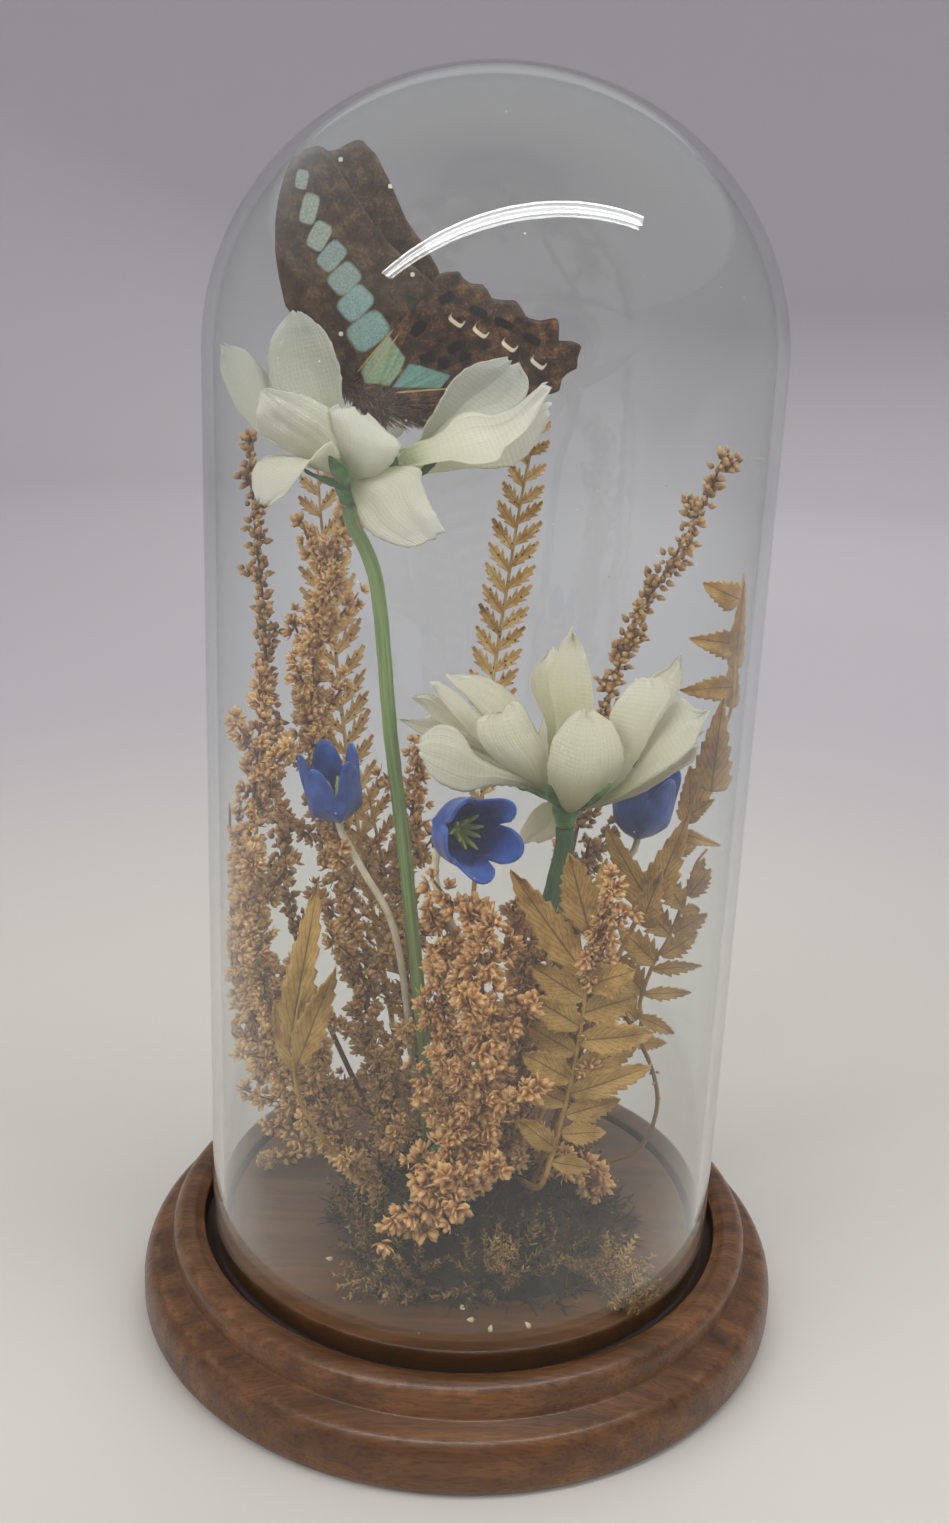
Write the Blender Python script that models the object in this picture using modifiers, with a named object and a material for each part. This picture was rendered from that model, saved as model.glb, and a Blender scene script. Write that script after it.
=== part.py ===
"""A butterfly on a silk flower, with dried ferns and seed plumes, under a glass dome on a turned base.

Lengths are in millimetres and become metres through MM. The origin is the middle of the base's
underside, +Z is up, and the front of the piece faces -Y.
"""

import math

import bmesh
import bpy
from mathutils import Matrix, Vector

MM = 0.001
GAP = 0.3  # clearance between neighbours

# Driving dimensions.
GLASS_RADIUS = 50.0
GLASS_WALL = 2.0
DOME_RISE = 47.5  # the top of the dome is a little flatter than a half ball
TOTAL_HEIGHT = 235.0
BASE_RADIUS = 64.0
BASE_HEIGHT = 18.5
GROOVE_DEPTH = 4.8

SPRING_HEIGHT = TOTAL_HEIGHT - DOME_RISE  # where the straight glass turns into the dome
GROOVE_FLOOR = BASE_HEIGHT - GROOVE_DEPTH
PLATFORM_RADIUS = GLASS_RADIUS - GLASS_WALL - 1.4
RIM_RADIUS = GLASS_RADIUS + 1.8

MOUND_CENTRE = (4.0, -9.0)
MOUND_RADII = (27.0, 24.0)
MOUND_RISE = 17.0
SOCKET_DEPTH = 4.0


# Set-up.


def clear_scene():
    for leftover in list(bpy.data.objects):
        bpy.data.objects.remove(leftover, do_unlink=True)


def new_collection(name):
    collection = bpy.data.collections.new(name)
    bpy.context.scene.collection.children.link(collection)
    return collection


clear_scene()
PARTS = new_collection("insect_in_glass_dome")
HELPERS = new_collection("helper_shapes")
SOCKETS = new_collection("moss_sockets")


def material(name, hex_colour, roughness, transmission=0.0):
    """A Principled material; the hex colour is sRGB and the shader takes linear values."""
    channels = [int(hex_colour[i : i + 2], 16) / 255 for i in (0, 2, 4)]
    linear = [c / 12.92 if c < 0.04045 else ((c + 0.055) / 1.055) ** 2.4 for c in channels]
    made = bpy.data.materials.new(name)
    made.use_nodes = True
    shader = made.node_tree.nodes["Principled BSDF"]
    shader.inputs["Base Color"].default_value = (*linear, 1)
    shader.inputs["Roughness"].default_value = roughness
    shader.inputs["Metallic"].default_value = 0.0
    shader.inputs["Transmission Weight"].default_value = transmission
    return made


WALNUT_STAIN = material("stained_turned_wood", "6F4629", 0.4)
CLEAR_GLASS = material("clear_blown_glass", "EAF2EE", 0.02, transmission=1.0)
DRY_MOSS = material("dry_moss", "4F4026", 0.95)
FLORAL_TAPE = material("green_floral_tape", "4F7A45", 0.6)
WHITE_SILK = material("white_silk", "E6E8DA", 0.75)
YELLOW_STAMEN = material("yellow_green_stamens", "A9B25A", 0.6)
WING_SCALES = material("brown_wing_scales", "54402F", 0.7)
BLUE_PLASTIC = material("blue_moulded_plastic", "2C4FA3", 0.45)
CREAM_PLASTIC = material("cream_moulded_plastic", "CFC5A8", 0.5)
DRY_FERN = material("golden_dry_fern", "C09A52", 0.8)
DRY_PLUME = material("tan_dry_plume", "B58A5C", 0.9)


def add_object(name, data, finish, collection=PARTS):
    made = bpy.data.objects.new(name, data)
    data.materials.append(finish)
    collection.objects.link(made)
    if collection is not PARTS:
        made.hide_render = True
        made.display_type = "WIRE"
    return made


def mesh_from(bm, name, smooth=True):
    """Turns millimetres into metres and leaves an ordinary mesh."""
    bmesh.ops.scale(bm, vec=(MM, MM, MM), verts=bm.verts)
    mesh = bpy.data.meshes.new(name)
    bm.to_mesh(mesh)
    bm.free()
    if smooth:
        mesh.shade_smooth()
    return mesh


def thicken(made, thickness, offset=0.0):
    wall = made.modifiers.new("wall", "SOLIDIFY")
    wall.thickness = thickness * MM
    wall.offset = offset


def join_shapes(made, shapes):
    """Unites helper shapes with the object, so that what grew as one piece is one body."""
    group = bpy.data.collections.new(made.name + "_shapes")
    HELPERS.children.link(group)
    for shape in shapes:
        HELPERS.objects.unlink(shape)
        group.objects.link(shape)
    union = made.modifiers.new("grown_together", "BOOLEAN")
    union.operation = "UNION"
    union.operand_type = "COLLECTION"
    union.collection = group


# Routes: smooth lines through points chosen by hand.


def smooth_route(points, spacing):
    """Points of a Catmull-Rom curve through the given ones, about one spacing apart."""
    given = [Vector(p) for p in points]
    padded = [2 * given[0] - given[1], *given, 2 * given[-1] - given[-2]]
    route = []
    for before, start, end, after in zip(padded, padded[1:], padded[2:], padded[3:]):
        count = max(1, round((end - start).length / spacing))
        for step in range(count):
            t = step / count
            route.append(
                0.5
                * (
                    2 * start
                    + (end - before) * t
                    + (2 * before - 5 * start + 4 * end - after) * t**2
                    + (3 * start - before - 3 * end + after) * t**3
                )
            )
    return [*route, given[-1]]


def frames_along(route):
    """Each place of a route with its direction and a sideways direction that doesn't twist."""
    across = Vector((1, 0, 0))
    found = []
    for index, place in enumerate(route):
        ahead = route[min(index + 1, len(route) - 1)] - route[max(index - 1, 0)]
        along = ahead.normalized()
        across = (across - along * across.dot(along)).normalized()
        found.append((place, along, across))
    return found


def rolled_grid(sides, rows, place_of):
    """A grid rolled into an open sleeve; place_of(turn, row) gives the place of each corner."""
    bm = bmesh.new()
    bmesh.ops.create_grid(bm, x_segments=sides, y_segments=rows, size=0.5)
    for vert in bm.verts:
        turn = 2 * math.pi * (vert.co.x + 0.5)
        vert.co = place_of(turn, round((vert.co.y + 0.5) * rows))
    bmesh.ops.remove_doubles(bm, verts=bm.verts, dist=0.005)
    return bm


def sleeve(route, radii, sides):
    """A closed limb through the places of a route, with its own radius at each."""
    frames = frames_along(route)

    def place_of(turn, row):
        place, along, across = frames[row]
        outward = across * math.cos(turn) + along.cross(across) * math.sin(turn)
        return place + outward * radii[row]

    bm = rolled_grid(sides, len(route) - 1, place_of)
    bmesh.ops.holes_fill(bm, edges=[edge for edge in bm.edges if edge.is_boundary], sides=0)
    bmesh.ops.recalc_face_normals(bm, faces=bm.faces)
    return bm


def tube(name, route, radius, finish, bevel_resolution=1):
    """A round wire or stem along a route."""
    curve = bpy.data.curves.new(name, "CURVE")
    curve.dimensions = "3D"
    curve.bevel_depth = radius * MM
    curve.bevel_resolution = bevel_resolution
    curve.use_fill_caps = True
    spline = curve.splines.new("POLY")
    spline.points.add(len(route) - 1)
    for point, place in zip(spline.points, route):
        point.co = (*(Vector(place) * MM), 1)
    add_object(name, curve, finish)


# Base and dome.


def turned(name, profile, steps, finish):
    """A lathe-turned shape: the profile of (radius, height) points spun once round the Z axis."""
    bm = bmesh.new()
    corners = [bm.verts.new((radius, 0, height)) for radius, height in profile]
    for upper, lower in zip(corners, corners[1:]):
        bm.edges.new((upper, lower))
    made = add_object(name, mesh_from(bm, name, smooth=False), finish)
    spin = made.modifiers.new("spin", "SCREW")
    spin.steps = steps
    spin.render_steps = steps
    spin.use_merge_vertices = True
    spin.merge_threshold = 0.0001
    spin.use_smooth_shade = True
    weld = made.modifiers.new("close_poles", "WELD")
    weld.merge_threshold = 0.0001
    return made


def quarter_round(radius, height, width, drop, count):
    """Points of a rounded edge that falls from (radius - width, height) to (radius, height - drop)."""
    turns = [math.pi / 2 * step / count for step in range(count + 1)]
    return [
        (radius - width + width * math.sin(turn), height - drop + drop * math.cos(turn))
        for turn in turns
    ]


def make_base():
    """One turned disc: a raised platform, the groove that holds the glass, a bead and a wide foot."""
    bead_radius = BASE_RADIUS - 6.0
    bead_foot = 12.0
    profile = [
        (0, BASE_HEIGHT),
        (PLATFORM_RADIUS, BASE_HEIGHT),
        (PLATFORM_RADIUS, GROOVE_FLOOR),
        (RIM_RADIUS, GROOVE_FLOOR),
        (RIM_RADIUS, BASE_HEIGHT - 0.9),
        *quarter_round(bead_radius, BASE_HEIGHT, 3.6, 2.6, 2),
        (bead_radius, bead_foot),
        *quarter_round(BASE_RADIUS, 11.0, 3.4, 5.6, 2),
        (BASE_RADIUS, 3.8),
        (BASE_RADIUS - 0.8, 1.4),
        (BASE_RADIUS - 2.6, 0),
        (0, 0),
    ]
    turned("wood_base", profile, 32, WALNUT_STAIN)


def make_dome():
    """A straight glass cylinder that closes in a round top; its lower edge stands in the groove."""
    count = 7
    turns = [math.pi / 2 * step / count for step in range(count + 1)]
    profile = [
        (GLASS_RADIUS * math.sin(turn), SPRING_HEIGHT + DOME_RISE * math.cos(turn))
        for turn in turns
    ]
    dome = turned("glass_dome", [*profile, (GLASS_RADIUS, GROOVE_FLOOR + GAP)], 32, CLEAR_GLASS)
    thicken(dome, GLASS_WALL, offset=-1.0)


# Moss mound.


def mound_height(x, y):
    """Height of the moss over a point of the platform."""
    across = Vector(((x - MOUND_CENTRE[0]) / MOUND_RADII[0], (y - MOUND_CENTRE[1]) / MOUND_RADII[1]))
    rise = max(0.0, 1 - across.length_squared) ** 0.7
    lumps = 1 + 0.06 * math.sin(0.55 * x + 1.0) * math.cos(0.45 * y)
    return BASE_HEIGHT + GAP + MOUND_RISE * rise * lumps


def make_mound():
    """The cushion of moss over its foam, flat below, with a socket for every stem."""
    bm = bmesh.new()
    bmesh.ops.create_uvsphere(bm, u_segments=16, v_segments=8, radius=1)
    geometry = bm.verts[:] + bm.edges[:] + bm.faces[:]
    cut = bmesh.ops.bisect_plane(
        bm, geom=geometry, dist=0.0001, plane_co=(0, 0, 0), plane_no=(0, 0, 1), clear_inner=True
    )
    rim = [item for item in cut["geom_cut"] if isinstance(item, bmesh.types.BMEdge)]
    bmesh.ops.contextual_create(bm, geom=rim)
    for vert in bm.verts:
        x = MOUND_CENTRE[0] + MOUND_RADII[0] * vert.co.x
        y = MOUND_CENTRE[1] + MOUND_RADII[1] * vert.co.y
        vert.co = (x, y, mound_height(x, y))
    mound = add_object("moss_mound", mesh_from(bm, "moss_mound"), DRY_MOSS)
    cut_sockets = mound.modifiers.new("sockets", "BOOLEAN")
    cut_sockets.operation = "DIFFERENCE"
    cut_sockets.operand_type = "COLLECTION"
    cut_sockets.collection = SOCKETS


def planted(name, points, foot, radius):
    """Carries a plant's hand-chosen points down into the moss, and drills the socket that holds it."""
    above = Vector(points[-1])
    surface = Vector((*foot, mound_height(*foot)))
    down = (surface - above).normalized()
    bottom = surface + down * SOCKET_DEPTH
    five_sided = 1.25  # a five-sided hole is this much wider, so that a round stem fits in it
    drill = [surface - down * SOCKET_DEPTH, bottom + down * GAP]
    hole = sleeve(drill, [five_sided * radius + GAP] * 2, 5)
    add_object(name + "_socket", mesh_from(hole, name + "_socket"), DRY_MOSS, SOCKETS)
    return [*[Vector(p) for p in points], surface, bottom]


# Silk and plastic flowers: every whorl is one die-cut sheet, its petals joined at a small hub.


SILK_THICKNESS = 0.5


def petal_outline(u, pointed):
    """Half width along a petal as a share of its widest: it swells to 0.6 of its length, then closes."""
    widest = 0.6
    if u < widest:
        swell = u / widest
        return 0.25 + 0.75 * swell * swell * (3 - 2 * swell)
    return max(0.0, 1 - ((u - widest) / (1 - widest)) ** 2) ** (1.0 if pointed else 0.5)


def petal_midline(hub_radius, shape, rows):
    """Places of the petal's middle line, with the side and face directions at each."""
    steps = 24
    turn = math.radians(shape["base"])
    place = Vector((math.cos(turn), math.sin(turn), 0)) * hub_radius
    found = []
    for step in range(steps + 1):
        u = step / steps
        blend = min(1.0, 3 * u)
        heading = math.radians(shape["base"] + (shape["turn"] - shape["base"]) * blend)
        climb = math.radians(shape["rise"] * min(1.0, 6 * u + 0.3) + shape["curl"] * (u - 0.5))
        along = Vector(
            (math.cos(climb) * math.cos(heading), math.cos(climb) * math.sin(heading), math.sin(climb))
        )
        level = Vector((-math.sin(heading), math.cos(heading), 0))
        side = Matrix.Rotation(math.radians(shape["roll"]) * blend, 3, along) @ level
        found.append((u, place.copy(), side, along.cross(side)))
        place += along * (shape["length"] / steps)
    return [min(found, key=lambda item: abs(item[0] - row)) for row in rows]


PETAL_ROWS = (0, 0.33, 0.62, 0.87, 1)  # shares of a petal's length where its sheet may bend


def whorl(name, centre, petals, finish, rows=PETAL_ROWS, pointed=False, collection=PARTS):
    """A sheet of petals round a small hub at its centre."""
    hub_radius = 2.0
    half_step = 15.0
    bm = bmesh.new()
    hub = []
    for shape in sorted(petals, key=lambda item: item["base"]):
        for shift in (-half_step, 0, half_step):
            turn = math.radians(shape["base"] + shift)
            hub.append(bm.verts.new((hub_radius * math.cos(turn), hub_radius * math.sin(turn), 0)))
    bm.faces.new(hub)
    base_half = hub_radius * math.sin(math.radians(half_step))
    for shape in petals:
        grid = bmesh.ops.create_grid(bm, x_segments=2, y_segments=len(rows) - 1, size=1)["verts"]
        line = petal_midline(hub_radius, shape, rows)
        for vert in grid:
            v = round(vert.co.x)
            row = round((vert.co.y + 1) / 2 * (len(rows) - 1))
            u, place, side, face = line[row]
            half = shape["width"] / 2 * petal_outline(u, pointed)
            if row == 0:
                turn = math.radians(shape["base"] + v * half_step)
                vert.co = (hub_radius * math.cos(turn), hub_radius * math.sin(turn), 0)
            else:
                half = max(half, base_half) if row < len(rows) - 1 else 0.0
                vert.co = place + side * (v * half) + face * (shape["cup"] * v * v * u)
    bmesh.ops.remove_doubles(bm, verts=bm.verts, dist=0.01)
    bmesh.ops.recalc_face_normals(bm, faces=bm.faces)
    bmesh.ops.translate(bm, verts=bm.verts, vec=centre)
    made = add_object(name, mesh_from(bm, name), finish, collection)
    thicken(made, SILK_THICKNESS)
    return made


def petal(base, turn, rise, length, width, curl=0.0, cup=1.5, roll=0.0):
    """A petal that leaves the hub at base degrees and swings round to turn, in degrees and mm.

    It climbs by rise degrees and bends by curl on its way. Its edges stand up by cup, and roll turns
    it about its own line.
    """
    return {
        "base": base,
        "turn": turn,
        "rise": rise,
        "length": length,
        "width": width,
        "curl": curl,
        "cup": cup,
        "roll": roll,
    }


def button(name, foot, top, foot_radius, top_radius, finish, sides=8):
    """A small solid cup or cushion that widens from its foot to its top."""
    bm = sleeve([Vector(foot), Vector(top)], [foot_radius, top_radius], sides)
    return add_object(name, mesh_from(bm, name), finish)


def calyx(name, hub, sepals):
    """The green cup under a silk flower with its sepals, one moulding."""
    middle = Vector(hub)
    foot = middle - Vector((0, 0, 5.6))
    cup = button(name, foot, middle - Vector((0, 0, 1.8)), 1.6, 2.6, FLORAL_TAPE)
    centre = middle - Vector((0, 0, 2.4))
    leaves = whorl(name + "_sepals", centre, sepals, FLORAL_TAPE, (0, 0.6, 1), True, HELPERS)
    join_shapes(cup, [leaves])


TALL_HUB = (-24.0, -9.0, 168.6)
TALL_STEM = [
    (-24.0, -9, 162.5),
    (-23.3, -9, 159.5),
    (-19, -9, 149),
    (-16, -8, 121),
    (-13, -7, 98),
    (-10, -5, 71),
    (-8, -4, 51),
]
TALL_STEM_RADIUS = 1.3


def make_tall_flower():
    """Blunt petals in two whorls, some hanging, with a green calyx and a taped wire stem."""
    low = [
        petal(156, 168, 44, 27, 11, curl=-8, cup=1, roll=-30),
        petal(192, 204, -16, 17, 13, curl=-45, cup=1, roll=-34),
        petal(276, 281, 39, 22, 17, curl=14, cup=3),
        petal(308, 318, -10, 25, 17, curl=-28, cup=1, roll=42),
        petal(340, 338, 24, 38, 14, curl=14, cup=2, roll=-40),
        petal(32, 19, 8, 33, 13, curl=8, roll=-22),
    ]
    high = [
        petal(190, 198, 73, 28, 13, curl=6, roll=78),
        petal(224, 213, 34, 19, 16, curl=8, cup=2, roll=28),
        petal(0, 1, 37, 36, 16, curl=6, cup=0.5, roll=-84),
        petal(80, 92, 22, 26, 16, curl=10),
    ]
    centre = Vector(TALL_HUB)
    whorl("tall_flower_lower_petals", centre, low, WHITE_SILK)
    whorl("tall_flower_upper_petals", centre + Vector((0, 0, 1.0)), high, WHITE_SILK)
    foot = centre + Vector((0, 0, 1.6))
    button("tall_flower_centre", foot, foot + Vector((0, 0, 2.0)), 1.3, 1.6, YELLOW_STAMEN)
    sepals = [petal(turn, turn, 6, 9, 4, cup=0.4) for turn in (60, 110, 162, 258, 345)]
    calyx("tall_flower_calyx", TALL_HUB, sepals)
    route = planted("tall_flower_stem", TALL_STEM, (-7.0, -3.0), TALL_STEM_RADIUS)
    tube("tall_flower_stem", smooth_route(route, 11), TALL_STEM_RADIUS, FLORAL_TAPE, 2)


SHORT_HUB = (16.2, -10.0, 111.2)
SHORT_STEM = [(16.2, -10, 105.3), (16, -10, 100), (12, -10, 80), (6, -10, 61), (0, -10, 43)]
SHORT_STEM_RADIUS = 1.7


def make_short_flower():
    """Pointed petals in three whorls that open like a bowl, a calyx and a thick taped stem."""
    outer = [
        petal(184, 186, 27, 33, 12, curl=10, cup=2, roll=4),
        petal(222, 212, 25, 29, 15, curl=10, cup=3, roll=36),
        petal(319, 329, 28, 29, 15, curl=8, cup=3, roll=-34),
        petal(5, -3, 35, 29, 13, curl=8, cup=2, roll=4),
        petal(100, 108, -34, 18, 13, curl=-30),
        petal(52, 58, 28, 28, 13, curl=8),
    ]
    middle = [
        petal(168, 170, 37, 32, 13, curl=10, cup=2, roll=-12),
        petal(230, 226, 44, 26, 14, curl=10, cup=3, roll=28),
        petal(274, 273, 50, 26, 17, curl=12, cup=3.5),
        petal(311, 314, 46, 27, 14, curl=10, cup=3, roll=-28),
        petal(35, 33, 42, 32, 13, curl=10, roll=8),
        petal(125, 130, 42, 28, 13, curl=10, roll=-8),
    ]
    inner = [
        petal(88, 89, 66, 31, 13, curl=10),
        petal(240, 236, 64, 23, 11, curl=10),
        petal(350, 353, 56, 29, 13, curl=10, cup=1, roll=12),
        petal(160, 158, 52, 28, 12, curl=10, cup=1, roll=-12),
    ]
    centre = Vector(SHORT_HUB)
    for name, petals, lift in (("outer", outer, 0), ("middle", middle, 1.0), ("inner", inner, 2.0)):
        sheet = f"short_flower_{name}_petals"
        whorl(sheet, centre + Vector((0, 0, lift)), petals, WHITE_SILK, pointed=True)
    foot = centre + Vector((0, 0, 2.6))
    button("short_flower_centre", foot, foot + Vector((0, 0, 2.4)), 1.3, 1.8, YELLOW_STAMEN)
    sepals = [petal(turn, turn, 8, 8, 5, cup=0.4) for turn in (30, 155, 205, 255, 310)]
    calyx("short_flower_calyx", SHORT_HUB, sepals)
    route = planted("short_flower_stem", SHORT_STEM, (-6.0, -10.0), SHORT_STEM_RADIUS)
    tube("short_flower_stem", smooth_route(route, 11), SHORT_STEM_RADIUS, FLORAL_TAPE, 2)


BLUE_STEM_RADIUS = 0.7
BELL_DEPTH = 13.5
BELL_RADIUS = 6.2
BLUE_FLOWERS = {
    "left": {
        "hub": (-25.0, -10.0, 105.5),
        "axis": (-0.15, -0.25, 1.0),
        "stem": [(-20, -9, 94), (-15, -8, 84), (-12, -5, 66)],
        "foot": (-9.0, 2.0),
    },
    "middle": {
        "hub": (-7.5, -22.0, 105.3),
        "axis": (0.75, -0.5, 0.4),
        "stem": [(-7.5, -21, 97), (-3, -20, 87), (1, -17, 71), (3, -14, 52)],
        "foot": (4.0, -11.0),
    },
    "right": {
        "hub": (31.5, 7.0, 97.5),
        "axis": (0.1, 0.0, 1.0),
        "stem": [(26, 6, 88), (17, 3, 78), (10, 1, 66), (5, -1, 52)],
        "foot": (3.0, -1.0),
    },
}


def make_bell(name, hub, axis):
    """A thin moulded bell with five pointed lobes round its mouth."""
    rows = [(0.0, 0.2), (0.1, 0.62), (0.5, 0.9), (0.78, 1.0)]
    lobe_rise = 0.22
    turned_up = Vector((0, 0, 1)).rotation_difference(axis)

    def place_of(turn, row):
        height, width = rows[row]
        tip = 0.5 + 0.5 * math.cos(5 * turn) if row == len(rows) - 1 else 0.0
        reach = BELL_RADIUS * (width + 0.15 * tip)
        local = (reach * math.cos(turn), reach * math.sin(turn), BELL_DEPTH * (height + lobe_rise * tip))
        return hub + turned_up @ Vector(local)

    bm = rolled_grid(10, len(rows) - 1, place_of)
    foot = [e for e in bm.edges if e.is_boundary and (e.verts[0].co - hub).length < 0.3 * BELL_RADIUS]
    bmesh.ops.holes_fill(bm, edges=foot, sides=0)
    bmesh.ops.recalc_face_normals(bm, faces=bm.faces)
    bell = add_object(name, mesh_from(bm, name), BLUE_PLASTIC)
    thicken(bell, 0.6)


def make_blue_flower(side, flower):
    """A moulded blue bell with its stamens, on a thin plastic stem."""
    name = f"blue_flower_{side}"
    hub = Vector(flower["hub"])
    axis = Vector(flower["axis"]).normalized()
    make_bell(name + "_bell", hub, axis)
    foot = hub + axis * (0.3 + GAP)
    button(name + "_stamens", foot, foot + axis * 6.0, 0.8, 1.8, YELLOW_STAMEN, sides=6)
    points = [hub - axis * (0.3 + GAP), hub - axis * 3.0, *flower["stem"]]
    route = planted(name + "_stem", points, flower["foot"], BLUE_STEM_RADIUS)
    tube(name + "_stem", smooth_route(route, 14), BLUE_STEM_RADIUS, CREAM_PLASTIC)


# Butterfly: body, wings, legs and antennae grew together and are one piece.

BODY_HEAD = Vector((-26.5, -4.2, 182.6))
BODY_TAIL = Vector((-8.5, -4.2, 176.2))
# Head, neck, thorax, waist and abdomen, as (share of the length, radius).
BODY_SPINDLE = [
    (0, 0.5),
    (0.07, 1.3),
    (0.14, 0.9),
    (0.24, 2.3),
    (0.38, 2.6),
    (0.52, 1.5),
    (0.78, 1.7),
    (1, 0.4),
]
# The wings' outlines, drawn by hand round the closed wings as (x, z).
FOREWING_ROOT = (-21.5, 181.2)
FOREWING_EDGE = [
    (-25.2, 182.9),
    (-30.9, 188.3),
    (-35.4, 195.0),
    (-36.4, 202.0),
    (-36.6, 211.4),
    (-34.4, 217.4),
    (-29.9, 220.3),
    (-27.7, 219.6),
    (-23.5, 221.8),
    (-20.0, 217.4),
    (-16.8, 212.2),
    (-11.5, 204.6),
    (-8.9, 201.0),
    (-13.0, 190.0),
    (-19.0, 181.5),
]
HINDWING_ROOT = (-20.5, 179.4)
HINDWING_EDGE = [
    (-22.5, 184.8),
    (-18.6, 190.4),
    (-11.2, 197.7),
    (-8.0, 201.2),
    (-4.0, 200.0),
    (-2.1, 198.6),
    (1.2, 198.8),
    (3.6, 196.4),
    (7.0, 196.2),
    (9.6, 193.8),
    (14.3, 190.7),
    (13.9, 187.3),
    (10.2, 183.1),
    (1.1, 180.8),
    (-10.0, 177.0),
]
WING_THICKNESS = 0.4


def wing(name, root, edge, side, lean, lift):
    """A wing fanned from its root to its edge; it stands on the body and leans out by lean per mm."""
    across = len(edge) - 1
    along = 2
    bm = bmesh.new()
    bmesh.ops.create_grid(bm, x_segments=across, y_segments=along, size=0.5)
    for vert in bm.verts:
        end = edge[round((vert.co.x + 0.5) * across)]
        reach = 0.06 + 0.94 * (vert.co.y + 0.5)
        x = root[0] + (end[0] - root[0]) * reach
        z = root[1] + (end[1] - root[1]) * reach
        vert.co = (x, BODY_HEAD.y + side * (lift + lean * (z - root[1])), z)
    made = add_object(name, mesh_from(bm, name), WING_SCALES, HELPERS)
    thicken(made, WING_THICKNESS)
    return made


def limb(name, places, radius):
    """A leg or feeler as a thin three-sided sleeve."""
    bm = sleeve(places, [radius] * len(places), 3)
    return add_object(name, mesh_from(bm, name), WING_SCALES, HELPERS)


def make_butterfly():
    """The body is a spindle of head, thorax and abdomen; wings, legs and feelers are united with it."""
    route = [BODY_HEAD.lerp(BODY_TAIL, share) for share, radius in BODY_SPINDLE]
    bm = sleeve(route, [radius for share, radius in BODY_SPINDLE], 8)
    body = add_object("butterfly", mesh_from(bm, "butterfly"), WING_SCALES)
    shapes = []
    for side, label in ((-1, "near"), (1, "far")):
        shapes.append(wing(label + "_forewing", FOREWING_ROOT, FOREWING_EDGE, side, 0.05, 0.4))
        shapes.append(wing(label + "_hindwing", HINDWING_ROOT, HINDWING_EDGE, side, 0.05, 1.1))
        root = BODY_HEAD.lerp(BODY_TAIL, 0.07) + Vector((0, side * 0.5, 0))
        feeler = [root, root + Vector((-3.5, side * 1.2, 2.2)), root + Vector((-8, side * 2.6, 6))]
        shapes.append(limb(label + "_antenna", feeler, 0.3))
        for index, share in enumerate((0.2, 0.29, 0.4)):
            hip = BODY_HEAD.lerp(BODY_TAIL, share) + Vector((0, side * 0.8, -0.6))
            knee = hip + Vector((index - 1.5, side * 1.6, -2.8))
            foot = knee + Vector((0.4, side * 0.4, -2.2))
            shapes.append(limb(f"{label}_leg_{index}", [hip, knee, foot], 0.3))
    join_shapes(body, shapes)


# Ferns: a flat midrib with a row of pinnae along each edge.


def lay_on_route(bm, route, facing):
    """Bends a flat frond, drawn up +Y from its foot, on to its route; the face turns to facing."""
    marks = [0.0]
    for start, end in zip(route, route[1:]):
        marks.append(marks[-1] + (end - start).length)
    total = marks[-1]
    for vert in bm.verts:
        reach = min(max(vert.co.y, 0.0), 1.0) * total
        index = max(i for i, mark in enumerate(marks[:-1]) if mark <= reach + 1e-6)
        span = marks[index + 1] - marks[index]
        along = (route[index + 1] - route[index]).normalized()
        side = along.cross(Vector(facing)).normalized()
        over = vert.co.y * total - reach
        middle = route[index].lerp(route[index + 1], (reach - marks[index]) / span)
        vert.co = middle + side * vert.co.x + along * over


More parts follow.
